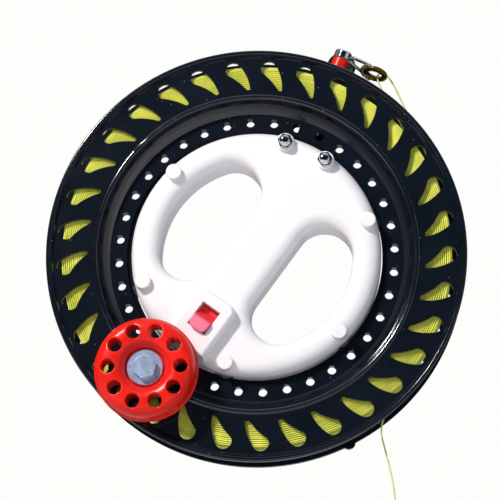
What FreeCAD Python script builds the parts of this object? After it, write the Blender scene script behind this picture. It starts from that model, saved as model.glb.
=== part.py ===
import FreeCAD, Part
import math
import os
import re
import Sketcher

# Kite line winder, in millimetres. The reel spins about the Y axis, -Y is the front and +Z is up.
# Angles run from +X towards +Z, as seen from the front.

SIZES = (
    ("reel_radius", 110, "outer radius of both flanges"),
    ("lip_width", 4, "width of the raised lip at a flange's edge"),
    ("lip_proud", 1.5, "height of that lip over the window band"),
    ("band_face", 12.2, "from the middle plane to the window band's face"),
    ("flange_wall", 2.5, "thickness of a flange's window band"),
    ("flange_bore", 86, "bore of a flange ring"),
    ("seat_gap", 0.05, "clearance of pieces that seat in each other"),
    ("drum_radius", 87.8, "radius that the line is wound on"),
    ("window_count", 33, "windows in a flange"),
    ("window_phase", 92.5, "angle of one window's inner tip"),
    ("window_tip", 88.9, "radius of the windows' inner tips"),
    ("window_tip_half", 1.1, "half width of that tip"),
    ("window_end", 100.3, "radius of the outer end's centre"),
    ("window_end_radius", 4.3, "radius of the outer end"),
    ("window_lean", 4.3, "angle from a tip to its outer end"),
    ("window_belly", 26, "radius of the bulging side"),
    ("window_hollow", 34, "radius of the hollow side"),
    ("lug_angle", 296, "angle of the line lug"),
    ("lug_radius", 3.6, "radius of the line lug"),
    ("web_half", 3, "half thickness of the hub's web"),
    ("web_inner", 68.5, "inner radius of the web"),
    ("rail_radius", 66.3, "inner radius of the rail that the rollers carry"),
    ("rail_half", 1.2, "half thickness of the rail"),
    ("cove_inner", 77.5, "radius where the cove leaves the web"),
    ("cove_outer", 83, "radius where the cove meets the bead"),
    ("cove_radius", 14, "hollow radius of the cove"),
    ("bead_radius", 1.8, "round of the bead"),
    ("hole_count", 36, "round holes in the web, and notches for the brake"),
    ("hole_circle", 72.8, "radius of the circle of holes"),
    ("hole_phase", 92.5, "angle of one hole"),
    ("hole_radius", 2.3, "radius of a hole"),
    ("notch_floor", 70.1, "radius that the brake notches reach"),
    ("notch_half", 2.8, "half width of a brake notch"),
    ("ring_outer", 65.7, "outer radius of the handle"),
    ("ring_inner", 50.8, "inner radius of the handle's ring"),
    ("front_depth", 12.4, "depth of the handle's front shell"),
    ("rear_depth", 16.2, "depth of the handle's rear shell"),
    ("outer_round", 7.2, "round of the ring's outer edges"),
    ("inner_round", 6.6, "round of the edges of the hand openings"),
    ("bar_half", 14.5, "half width of the grip bar"),
    ("grip_angle", 54, "angle of the grip bar"),
    ("opening_corner", 15, "corner radius of the hand openings"),
    ("roller_circle", 60.8, "radius of the circle of rollers"),
    ("post_phase", 15, "angle of the first roller"),
    ("post_radius", 4.15, "radius of the bosses over the rollers"),
    ("post_proud", 3.6, "height of those bosses"),
    ("collar_radius", 4.9, "radius of the collars under the dome nuts"),
    ("collar_proud", 2.2, "height of those collars"),
    ("low_bolt_angle", 53, "angle of the guide's lower bolt"),
    ("rail_gap", 0.1, "clearance of a roller's groove to the rail"),
    ("roller_rim", 6.5, "radius of a roller's rims"),
    ("roller_half", 2.5, "half width of a roller"),
    ("groove_half", 1.3, "half width of a roller's groove"),
    ("race_radius", 3.2, "outer radius of a bearing's inner ring"),
    ("race_half", 2.85, "half width of a bearing's inner ring"),
    ("running_gap", 0.06, "clearance of pieces that turn on each other"),
    ("pin_radius", 2, "radius of the roller pins and the guide bolts"),
    ("pin_half", 10, "half length of a roller pin"),
    ("screw_phase", 101, "angle of the first shell screw"),
    ("screw_circle", 59, "radius of the circle of shell screws"),
    ("screw_radius", 1.4, "radius of a screw's shank"),
    ("screw_head", 2.8, "radius of a screw's head"),
    ("screw_sunk", 4, "depth of a screw's recess"),
    ("screw_length", 19, "length of a screw's shank"),
    ("housing_start", 30, "inner end of the brake housing"),
    ("housing_end", 63.4, "outer end of the brake housing"),
    ("housing_half", 12.9, "half width of the brake housing at its foot"),
    ("housing_proud", 6.6, "height of the brake housing over the handle"),
    ("housing_draft", 7, "draft of its walls, in degrees"),
    ("window_low", 38, "inner end of the brake's window"),
    ("window_high", 52, "outer end of the brake's window"),
    ("window_half", 5.5, "half width of the brake's window"),
    ("brake_travel", 4.5, "travel of the brake"),
    ("slider_start", 34, "inner end of the slider's base"),
    ("slider_end", 56, "outer end of the slider's base"),
    ("slider_half", 7, "half width of the slider's base"),
    ("slider_gap", 0.3, "clearance round the slider"),
    ("slider_back", 4, "from the middle plane to the base's back"),
    ("slider_face", 12, "from the middle plane to the base's front"),
    ("tab_proud", 2.6, "height of the thumb tab over the housing"),
    ("tab_end", 52.6, "outer end of the thumb tab"),
    ("tab_neck", 47.2, "outer end of the tab's neck"),
    ("stem_half", 3.8, "half width of the slider's stem"),
    ("tongue_start", 40, "inner end of the brake tongue"),
    ("tongue_tip", 65.2, "outer end of the brake tongue"),
    ("tongue_half", 2.4, "half width of the brake tongue"),
    ("tongue_low", 1.4, "from the middle plane to the tongue"),
    ("tongue_thick", 1.5, "thickness of the tongue"),
    ("rivet_place", 49, "place of the tongue's rivet"),
    ("rivet_radius", 1.2, "radius of the tongue's rivet"),
    ("spring_place", 38, "middle of the detent spring"),
    ("spring_half", 5, "half length of the detent spring"),
    ("spring_thick", 0.4, "thickness of the detent spring"),
    ("spring_width", 6, "width of the detent spring"),
    ("knob_circle", 84.5, "radius at which the knob's bolt stands"),
    ("knob_gap_index", 12.5, "windows from the first one to the knob's bolt"),
    ("knob_boss_radius", 6.4, "radius of the hub's boss under the knob"),
    ("knob_back", 19.8, "from the middle plane to the knob's back"),
    ("knob_height", 13.4, "height of the knob"),
    ("knob_radius", 26, "radius of the knob"),
    ("knob_lip", 2, "thickness of the knob's lip"),
    ("knob_dish", 13, "radius of the dish in the knob's face"),
    ("knob_recess", 10.2, "radius of the washer's recess"),
    ("knob_floor", 7.4, "height of the recess's floor"),
    ("knob_hole_count", 10, "holes through the knob"),
    ("knob_hole_circle", 18.2, "radius of the circle of those holes"),
    ("knob_hole_radius", 3.35, "radius of those holes"),
    ("knob_step", 0.5, "from the hub's boss to the knob's back"),
    ("bush_radius", 5, "outer radius of the knob's bush"),
    ("bush_end_gap", 0.3, "play of the knob along its bush"),
    ("bolt_radius", 3, "radius of the knob's bolt"),
    ("bolt_flat", 11, "across the flats of its head"),
    ("bolt_head", 4, "height of its head"),
    ("bolt_depth", 8, "length of the bolt in the insert"),
    ("washer_radius", 9.2, "radius of the knob's washer"),
    ("washer_thick", 1.4, "thickness of the knob's washer"),
    ("insert_radius", 4.4, "radius of the threaded insert"),
    ("insert_length", 9, "length of the threaded insert"),
    ("plate_thick", 1.5, "thickness of the guide's bracket"),
    ("plate_sunk", 0.4, "depth of the bracket's face below the back"),
    ("foot_inner", 54, "inner edge of the bracket's foot"),
    ("foot_outer", 66.4, "outer edge of the bracket's foot"),
    ("foot_spare", 5.8, "from a bolt's axis to the foot's end"),
    ("arm_half", 7.8, "half width of the bracket's arm"),
    ("arm_end", 118.8, "centre of the arm's round end"),
    ("guide_angle", 67.3, "angle of the bracket's arm"),
    ("guide_depth", 3, "from the middle plane to the guide's axis"),
    ("stud_place", 121, "place of the guide's stud along the arm"),
    ("stud_radius", 2.2, "radius of the guide's stud"),
    ("stud_gap", 0.2, "from the stud's end to the guide's pin"),
    ("ferrule_length", 5, "length of the ferrule"),
    ("ferrule_radius", 4.8, "radius of the ferrule"),
    ("sleeve_length", 6.8, "length of the sleeve"),
    ("sleeve_radius", 4.4, "radius of the sleeve"),
    ("core_pin_radius", 1.5, "radius of the pin in sleeve and ferrule"),
    ("nut_flat", 7, "across the flats of a dome nut"),
    ("nut_base", 2.2, "height of a dome nut's flats"),
    ("nut_dome", 3.1, "radius of a dome nut's dome"),
    ("eye_right", 64.5, "the guide eye's centre, to the right"),
    ("eye_up", 97.5, "the guide eye's centre, upwards"),
    ("eye_major", 5.5, "radius of the guide eye's ring"),
    ("eye_minor", 1, "radius of the guide eye's round"),
    ("wire_radius", 0.8, "radius of the guide's wire"),
    ("line_radius", 0.45, "radius of the kite line"),
    ("wound_radius", 98.5, "radius of the wound line's core"),
    ("wound_turns", 13, "turns in the outer layer of the line"),
    ("wound_pitch", 1.38, "step from turn to turn"),
)

EYE_AXIS = FreeCAD.Vector(0.42, 0.38, 0.82)

doc = FreeCAD.newDocument("kite_line_winder")
sheet = doc.addObject("Spreadsheet::Sheet", "sizes")
for row, (alias, size, note) in enumerate(SIZES, start=1):
    sheet.set("A%d" % row, str(size))
    sheet.setAlias("A%d" % row, alias)
    sheet.set("B%d" % row, note)
doc.recompute()
ALIASES = {alias for alias, size, note in SIZES}


def number(expression):
    """The value of an expression of aliases, in millimetres or degrees."""
    value = sheet.evalExpression(expression)
    return float(getattr(value, "Value", value))


def bind(item, name, expression):
    """Binds a property or constraint to an expression of the sheet's aliases."""
    def through_sheet(found):
        word = found.group(0)
        return "sizes." + word if word in ALIASES else word
    item.setExpression(name, re.sub(r"[a-z][a-z_]*", through_sheet, expression))


def new_body(name):
    """An empty body, in the part's own frame."""
    body = doc.addObject("PartDesign::Body", name)
    body.Label = name
    return body


def origin_item(body, role):
    """One of the body's own origin planes or axes."""
    return [item for item in body.Origin.OriginFeatures if item.Role == role][0]


def new_sketch(body, plane, forward="0", turned="0"):
    """A sketch on an origin plane, moved along its normal and turned about it."""
    sketch = body.newObject("Sketcher::SketchObject", body.Label + "_sketch")
    sketch.AttachmentSupport = (origin_item(body, plane), "")
    sketch.MapMode = "FlatFace"
    turn = FreeCAD.Rotation(FreeCAD.Vector(0, 0, 1), 1)
    sketch.AttachmentOffset = FreeCAD.Placement(FreeCAD.Vector(), turn)
    bind(sketch, "AttachmentOffset.Rotation.Angle", turned)
    bind(sketch, "AttachmentOffset.Base.z", forward)
    return sketch


def fix_point(sketch, edge, end, across, up):
    """Holds one point of a sketch at two sizes from the sketch's origin."""
    for kind, expression, axis in (("DistanceX", across, -2), ("DistanceY", up, -1)):
        if expression == "0":
            sketch.addConstraint(Sketcher.Constraint("PointOnObject", edge, end, axis))
        else:
            rule = Sketcher.Constraint(kind, -1, 1, edge, end, number(expression))
            index = sketch.addConstraint(rule)
            bind(sketch, "Constraints[%d]" % index, expression)


def arc_between(start, finish, radius):
    """The arc from start to finish; a radius above 0 turns left, one below 0 turns right."""
    chord = finish - start
    left = FreeCAD.Vector(-chord.y, chord.x, 0).normalize()
    rise = math.sqrt(max(radius ** 2 - (chord.Length / 2) ** 2, 0))
    centre = (start + finish) * 0.5 + left * math.copysign(rise, radius)
    first, last = (start, finish) if radius > 0 else (finish, start)
    angles = [math.atan2(p.y - centre.y, p.x - centre.x) for p in (first, last)]
    circle = Part.Circle(centre, FreeCAD.Vector(0, 0, 1), abs(radius))
    return Part.ArcOfCircle(circle, angles[0], angles[1])


def draw(sketch, corners):
    """A closed outline. A corner is (across, up), or (across, up, radius) where an arc leaves it."""
    places = [FreeCAD.Vector(number(c[0]), number(c[1]), 0) for c in corners]
    ends = []
    for index, corner in enumerate(corners):
        start = places[index]
        finish = places[(index + 1) % len(places)]
        if len(corner) == 2:
            edge = sketch.addGeometry(Part.LineSegment(start, finish), False)
            ends.append((edge, 1, 2))
            continue
        radius = number(corner[2])
        edge = sketch.addGeometry(arc_between(start, finish, radius), False)
        ends.append((edge, 1, 2) if radius > 0 else (edge, 2, 1))
        size = corner[2] if radius > 0 else "0 - (" + corner[2] + ")"
        index = sketch.addConstraint(Sketcher.Constraint("Radius", edge, abs(radius)))
        bind(sketch, "Constraints[%d]" % index, size)
    for index, corner in enumerate(corners):
        edge, first, last = ends[index]
        fix_point(sketch, edge, first, corner[0], corner[1])
        before, _, before_last = ends[index - 1]
        sketch.addConstraint(Sketcher.Constraint("Coincident", before, before_last, edge, first))
    return sketch


def draw_circle(sketch, across, up, radius):
    """A circle in a sketch."""
    centre = FreeCAD.Vector(number(across), number(up), 0)
    circle = Part.Circle(centre, FreeCAD.Vector(0, 0, 1), number(radius))
    edge = sketch.addGeometry(circle, False)
    fix_point(sketch, edge, 3, across, up)
    index = sketch.addConstraint(Sketcher.Constraint("Radius", edge, number(radius)))
    bind(sketch, "Constraints[%d]" % index, radius)
    return sketch


def draw_box(sketch, low, high, left, right):
    """A rectangle in a sketch."""
    return draw(sketch, ((low, left), (high, left), (high, right), (low, right)))


def revolve(body, corners, about="V_Axis", kind="PartDesign::Revolution"):
    """Turns an outline of radii and depths about the Y axis, or about X with H_Axis."""
    sketch = draw(new_sketch(body, "XY_Plane"), corners)
    feature = body.newObject(kind, body.Label + "_turned")
    feature.Profile = sketch
    feature.ReferenceAxis = (sketch, [about])
    feature.Angle = 360
    return feature


def pad(body, sketch, length, forward=True, draft=None):
    """Adds a sketch's outline, to the front or to the back."""
    feature = body.newObject("PartDesign::Pad", body.Label + "_pad")
    feature.Profile = sketch
    bind(feature, "Length", length)
    feature.Reversed = not forward
    if draft:
        bind(feature, "TaperAngle", "0 - " + draft)
    return feature


def pocket(body, sketch, length, forward=False):
    """Cuts a sketch's outline, to the back or to the front."""
    feature = body.newObject("PartDesign::Pocket", body.Label + "_pocket")
    feature.Profile = sketch
    bind(feature, "Length", length)
    feature.Reversed = forward
    return feature


def repeat(body, features, count, angle="360"):
    """Repeats features about the Y axis, the way that the angles here run."""
    pattern = body.newObject("PartDesign::PolarPattern", body.Label + "_pattern")
    pattern.Originals = features
    pattern.Axis = (origin_item(body, "Y_Axis"), [""])
    pattern.Reversed = True
    bind(pattern, "Angle", angle)
    bind(pattern, "Occurrences", count)
    body.Tip = pattern
    return pattern


def edges_of(feature, test):
    """Names of the feature's edges whose points all pass a test."""
    doc.recompute()
    names = []
    for index, edge in enumerate(feature.Shape.Edges, start=1):
        if all(test(point) for point in edge.discretize(5)):
            names.append("Edge%d" % index)
    return names


def round_edges(body, radius, test, kind="PartDesign::Fillet"):
    """Rounds the edges of the body's last feature that pass a test."""
    base = body.Tip
    names = edges_of(base, test)
    feature = body.newObject(kind, body.Label + "_edge")
    feature.Base = (base, names)
    bind(feature, "Radius" if kind.endswith("Fillet") else "Size", radius)
    return feature


def place(item, right="0", back="0", up="0", angle="0"):
    """Moves an item and turns it about the Y axis."""
    turn = FreeCAD.Rotation(FreeCAD.Vector(0, -1, 0), 1)
    item.Placement = FreeCAD.Placement(FreeCAD.Vector(), turn)
    for axis, expression in (("x", right), ("y", back), ("z", up)):
        bind(item, "Placement.Base." + axis, expression)
    bind(item, "Placement.Rotation.Angle", angle)
    return item


def place_polar(item, radius, angle):
    """Moves an item to a place round the Y axis."""
    return place(item, "%s * cos(%s)" % (radius, angle), "0", "%s * sin(%s)" % (radius, angle))


KNOB_ANGLE = "(window_phase + knob_gap_index * 360 / window_count)"
BRAKE_ANGLE = "(grip_angle + 180)"
HIGH_BOLT_ANGLE = "(post_phase + 60)"
GROOVE_ROOT = "(rail_radius - rail_gap - roller_circle)"
BAND_BACK = "(band_face - flange_wall)"
SPIGOT = "(flange_bore - seat_gap)"
COLLAR_FACE = "(front_depth + collar_proud)"
HOUSING_FACE = "(front_depth + housing_proud)"
BOSS_FACE = "(knob_back - knob_step)"
PLATE_BACK = "(rear_depth - plate_sunk)"
PLATE_FACE = "(rear_depth - plate_sunk - plate_thick)"


def make_hub():
    """The hub: rail, web, coves and beads, with the drum between its shoulders."""
    body = new_body("reel_hub")
    front = [
        ("rail_radius", "0 - rail_half"),
        ("web_inner", "0 - rail_half"),
        ("web_inner", "0 - web_half"),
        ("cove_inner", "0 - web_half", "0 - cove_radius"),
        ("cove_outer", "0 - band_face", "bead_radius"),
        (SPIGOT, "0 - band_face"),
        (SPIGOT, "0 - " + BAND_BACK),
        ("drum_radius", "0 - " + BAND_BACK),
    ]
    back = [
        ("drum_radius", BAND_BACK),
        (SPIGOT, BAND_BACK),
        (SPIGOT, "band_face", "bead_radius"),
        ("cove_outer", "band_face", "0 - cove_radius"),
        ("cove_inner", "web_half"),
        ("web_inner", "web_half"),
        ("web_inner", "rail_half"),
        ("rail_radius", "rail_half"),
    ]
    revolve(body, front + back)
    boss = new_sketch(body, "XZ_Plane", "web_half", KNOB_ANGLE)
    draw_circle(boss, "knob_circle", "0", "knob_boss_radius")
    pad(body, boss, BOSS_FACE + " - web_half")
    revolve(body, [
        ("drum_radius", "0 - " + BAND_BACK),
        ("reel_radius", "0 - " + BAND_BACK),
        ("reel_radius", BAND_BACK),
        ("drum_radius", BAND_BACK),
    ], kind="PartDesign::Groove")
    bore = new_sketch(body, "XZ_Plane", BOSS_FACE, KNOB_ANGLE)
    draw_circle(bore, "knob_circle", "0", "insert_radius + seat_gap")
    pocket(body, bore, "insert_length")
    hole = new_sketch(body, "XZ_Plane", "web_half", "hole_phase")
    draw_circle(hole, "hole_circle", "0", "hole_radius")
    repeat(body, [pocket(body, hole, "web_half * 2")], "hole_count")
    notch = new_sketch(body, "XZ_Plane", "0 - rail_half", BRAKE_ANGLE)
    draw_box(notch, "web_inner - 1", "notch_floor", "0 - notch_half", "notch_half")
    repeat(body, [pocket(body, notch, "web_half")], "hole_count")
    return body


def window_outline():
    """One flange window about the X axis: a pointed tip, a bulging and a hollow side, a round end."""
    middle = ("window_end * cos(window_lean)", "window_end * sin(window_lean)")

    def end_point(angle):
        return (
            "%s + window_end_radius * cos(%s)" % (middle[0], angle),
            "%s + window_end_radius * sin(%s)" % (middle[1], angle),
        )
    return [
        ("window_tip", "0 - window_tip_half", "window_belly"),
        end_point("-48") + ("window_end_radius",),
        end_point("40") + ("window_end_radius",),
        end_point("128") + ("0 - window_hollow",),
        ("window_tip", "window_tip_half", "window_tip_half * 1.15"),
    ]


def make_flange(name, front):
    """A flange ring with its lip and windows; the rear one carries the line lug."""
    body = new_body(name)
    side = "0 - " if front else ""
    inner = [
        ("flange_bore", side + BAND_BACK),
        ("reel_radius", side + BAND_BACK),
    ]
    outer = [
        ("reel_radius", side + "(band_face + lip_proud - 1)", "1"),
        ("reel_radius - 1", side + "(band_face + lip_proud)"),
        ("reel_radius - lip_width + 1", side + "(band_face + lip_proud)"),
        ("reel_radius - lip_width", side + "band_face"),
        ("flange_bore", side + "band_face"),
    ]
    if front:
        outer[0] = outer[0][:2] + ("-1",)
    revolve(body, inner + outer)
    window = draw(new_sketch(body, "XZ_Plane", "0", "window_phase"), window_outline())
    repeat(body, [pocket(body, window, "band_face + lip_proud", front)], "window_count")
    if front:
        notch = new_sketch(body, "XZ_Plane", "0", KNOB_ANGLE)
        draw_circle(notch, "knob_circle", "0", "knob_boss_radius + seat_gap * 5")
        pocket(body, notch, "band_face + lip_proud", True)
    else:
        lug = new_sketch(body, "XZ_Plane", "0 - " + BAND_BACK, "lug_angle")
        draw_circle(lug, "reel_radius - lug_radius / 2", "0", "lug_radius")
        pad(body, lug, "flange_wall + lip_proud", False)
    return body


def opening_outline(side):
    """One hand opening, along the bar and to one side of it."""
    middle = "(bar_half + opening_corner)"
    reach = "(ring_inner - opening_corner)"
    along = "sqrt(%s ^ 2 - %s ^ 2)" % (reach, middle)
    far = "ring_inner / " + reach
    outline = [
        ("0 - " + along, side + "bar_half"),
        (along, side + "bar_half", "opening_corner"),
        (along + " * " + far, side + middle + " * " + far, "ring_inner"),
        ("0 - " + along + " * " + far, side + middle + " * " + far, "opening_corner"),
    ]
    if side:
        outline = [corner[:2] + tuple("0 - " + size for size in corner[2:]) for corner in outline]
    return outline


def cut_openings(body, depth, front):
    """Cuts both hand openings and rounds their edges, and the bar's with them."""
    for side in ("", "0 - "):
        sketch = draw(new_sketch(body, "XZ_Plane", "0", "grip_angle"), opening_outline(side))
        pocket(body, sketch, depth, front)
    face = number(depth) * (-1 if front else 1)
    limit = number("ring_inner") + 0.1
    round_edges(body, "inner_round", lambda p: abs(p.y - face) < 1e-3 and math.hypot(p.x, p.z) < limit)


def make_front_shell():
    """The handle's front shell: half ring and grip bar, with bosses and the brake's housing."""
    body = new_body("handle_front_shell")
    revolve(body, [
        ("0", "0 - front_depth"),
        ("ring_outer - outer_round", "0 - front_depth", "outer_round"),
        ("ring_outer", "outer_round - front_depth"),
        ("ring_outer", "0"),
        ("0", "0"),
    ])
    cut_openings(body, "front_depth", True)
    housing = new_sketch(body, "XZ_Plane", "front_depth - outer_round", BRAKE_ANGLE)
    draw(housing, [
        ("housing_start + 6", "0 - housing_half"),
        ("housing_end", "0 - housing_half"),
        ("housing_end", "housing_half"),
        ("housing_start + 6", "housing_half", "6"),
        ("housing_start", "housing_half - 6"),
        ("housing_start", "6 - housing_half", "6"),
    ])
    pad(body, housing, "outer_round + housing_proud", True, "housing_draft")
    top = number(HOUSING_FACE)
    round_edges(body, "1.6", lambda p: abs(p.y + top) < 1e-3)
    boss = new_sketch(body, "XZ_Plane", "front_depth / 2", "post_phase + 120")
    draw_circle(boss, "roller_circle", "0", "post_radius")
    repeat(body, [pad(body, boss, "front_depth / 2 + post_proud")], "5", "240")
    tip = number("front_depth + post_proud")
    round_edges(body, "0.8", lambda p: abs(p.y + tip) < 1e-3)
    for angle in ("low_bolt_angle", HIGH_BOLT_ANGLE):
        collar = new_sketch(body, "XZ_Plane", "front_depth / 2", angle)
        draw_circle(collar, "roller_circle", "0", "collar_radius")
        pad(body, collar, "front_depth / 2 + collar_proud")
    face = number(COLLAR_FACE)
    round_edges(body, "0.7", lambda p: abs(p.y + face) < 1e-3)
    cavity = new_sketch(body, "XZ_Plane", "0", BRAKE_ANGLE)
    draw_box(cavity, "slider_start - 2", "slider_end + brake_travel + 1",
             "0 - slider_half - slider_gap", "slider_half + slider_gap")
    pocket(body, cavity, "slider_face + slider_gap", True)
    window = new_sketch(body, "XZ_Plane", "0", BRAKE_ANGLE)
    draw_box(window, "window_low", "window_high", "0 - window_half", "window_half")
    pocket(body, window, "front_depth + housing_proud", True)
    cut_roller_pockets(body, True)
    cut_pin_holes(body, True)
    cut_bolt_holes(body, COLLAR_FACE, True)
    cut_screw_holes(body, "screw_length - rear_depth + screw_sunk + 0.5", "screw_radius", True)
    return body


def make_rear_shell():
    """The handle's rear shell, with recesses for the screws and for the guide's bracket."""
    body = new_body("handle_rear_shell")
    revolve(body, [
        ("0", "0"),
        ("ring_outer", "0"),
        ("ring_outer", "rear_depth - outer_round", "outer_round"),
        ("ring_outer - outer_round", "rear_depth"),
        ("0", "rear_depth"),
    ])
    cut_openings(body, "rear_depth", False)
    channel = new_sketch(body, "XZ_Plane", "0", BRAKE_ANGLE)
    draw_box(channel, "tongue_start - 1", "ring_outer + 1",
             "0 - stem_half - slider_gap", "stem_half + slider_gap")
    pocket(body, channel, "tongue_low + tongue_thick * 2")
    seat = new_sketch(body, "XZ_Plane", "0 - " + PLATE_FACE, "guide_angle")
    draw_box(seat, "foot_inner - slider_gap", "ring_outer + 1",
             foot_side("low_bolt_angle", -1) + " - slider_gap",
             foot_side(HIGH_BOLT_ANGLE, 1) + " + slider_gap")
    pocket(body, seat, "plate_thick + plate_sunk")
    cut_roller_pockets(body, False)
    cut_pin_holes(body, False)
    cut_bolt_holes(body, "rear_depth", False)
    cut_screw_holes(body, "rear_depth", "screw_radius + seat_gap", False)
    heads = new_sketch(body, "XZ_Plane", "screw_sunk - rear_depth", "screw_phase")
    draw_circle(heads, "screw_circle", "0", "screw_head + 0.2")
    repeat(body, [pocket(body, heads, "screw_sunk")], "5", "240")
    return body


def cut_roller_pockets(body, front):
    """Six round pockets, open to the outside, that hold half of each roller."""
    sketch = new_sketch(body, "XZ_Plane", "0", "post_phase")
    draw_circle(sketch, "roller_circle", "0", "roller_rim + 0.7")
    repeat(body, [pocket(body, sketch, "race_half + seat_gap", front)], "6")


def cut_pin_holes(body, front):
    """Blind holes for the five roller pins."""
    sketch = new_sketch(body, "XZ_Plane", "0", "post_phase + 120")
    draw_circle(sketch, "roller_circle", "0", "pin_radius + seat_gap")
    repeat(body, [pocket(body, sketch, "pin_half + seat_gap", front)], "5", "240")


def cut_bolt_holes(body, depth, front):
    """Through holes for the two guide bolts."""
    for angle in ("low_bolt_angle", HIGH_BOLT_ANGLE):
        sketch = new_sketch(body, "XZ_Plane", "0", angle)
        draw_circle(sketch, "roller_circle", "0", "pin_radius + seat_gap")
        pocket(body, sketch, depth, front)


def cut_screw_holes(body, depth, radius, front):
    """Holes for the five screws that hold the shells together."""
    sketch = new_sketch(body, "XZ_Plane", "0", "screw_phase")
    draw_circle(sketch, "screw_circle", "0", radius)
    repeat(body, [pocket(body, sketch, depth, front)], "5", "240")


def make_rollers():
    """Six grooved rollers that carry the rail, each a node of its own."""
    for index in range(6):
        body = new_body("roller_%d" % (index + 1))
        revolve(body, [
            ("race_radius + running_gap", "0 - roller_half"),
            ("roller_rim", "0 - roller_half"),
            ("roller_rim", "0 - groove_half - 0.5"),
            (GROOVE_ROOT, "0 - groove_half"),
            (GROOVE_ROOT, "groove_half"),
            ("roller_rim", "groove_half + 0.5"),
            ("roller_rim", "roller_half"),
            ("race_radius + running_gap", "roller_half"),
        ])
        place_polar(body, "roller_circle", "(post_phase + %d)" % (60 * index))


def make_bearing_rings():
    """The inner rings that the rollers turn on."""
    body = new_body("bearing_inner_rings")
    sketch = new_sketch(body, "XZ_Plane", "0 - race_half", "post_phase")
    draw_circle(sketch, "roller_circle", "0", "race_radius")
    draw_circle(sketch, "roller_circle", "0", "pin_radius + seat_gap")
    repeat(body, [pad(body, sketch, "race_half * 2")], "6")


def make_roller_pins():
    """Five plain pins, held in blind holes of both shells."""
    body = new_body("roller_pins")
    sketch = new_sketch(body, "XZ_Plane", "0 - pin_half", "post_phase + 120")
    draw_circle(sketch, "roller_circle", "0", "pin_radius")
    repeat(body, [pad(body, sketch, "pin_half * 2")], "5", "240")


def make_shell_screws():
    """Five pan head screws, driven from the back."""
    body = new_body("shell_screws")
    shank = new_sketch(body, "XZ_Plane", "screw_sunk - rear_depth", "screw_phase")
    draw_circle(shank, "screw_circle", "0", "screw_radius")
    first = pad(body, shank, "screw_length")
    head = new_sketch(body, "XZ_Plane", "screw_sunk - rear_depth", "screw_phase")
    draw_circle(head, "screw_circle", "0", "screw_head")
    second = pad(body, head, "2", False)
    slot = new_sketch(body, "XZ_Plane", "screw_sunk - rear_depth - 1.2", "screw_phase")
    draw_box(slot, "screw_circle - 1.8", "screw_circle + 1.8", "-0.35", "0.35")
    cross = new_sketch(body, "XZ_Plane", "screw_sunk - rear_depth - 1.2", "screw_phase")
    draw_box(cross, "screw_circle - 0.35", "screw_circle + 0.35", "-1.8", "1.8")
    third = pocket(body, slot, "1")
    fourth = pocket(body, cross, "1")
    repeat(body, [first, second, third, fourth], "5", "240")


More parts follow.
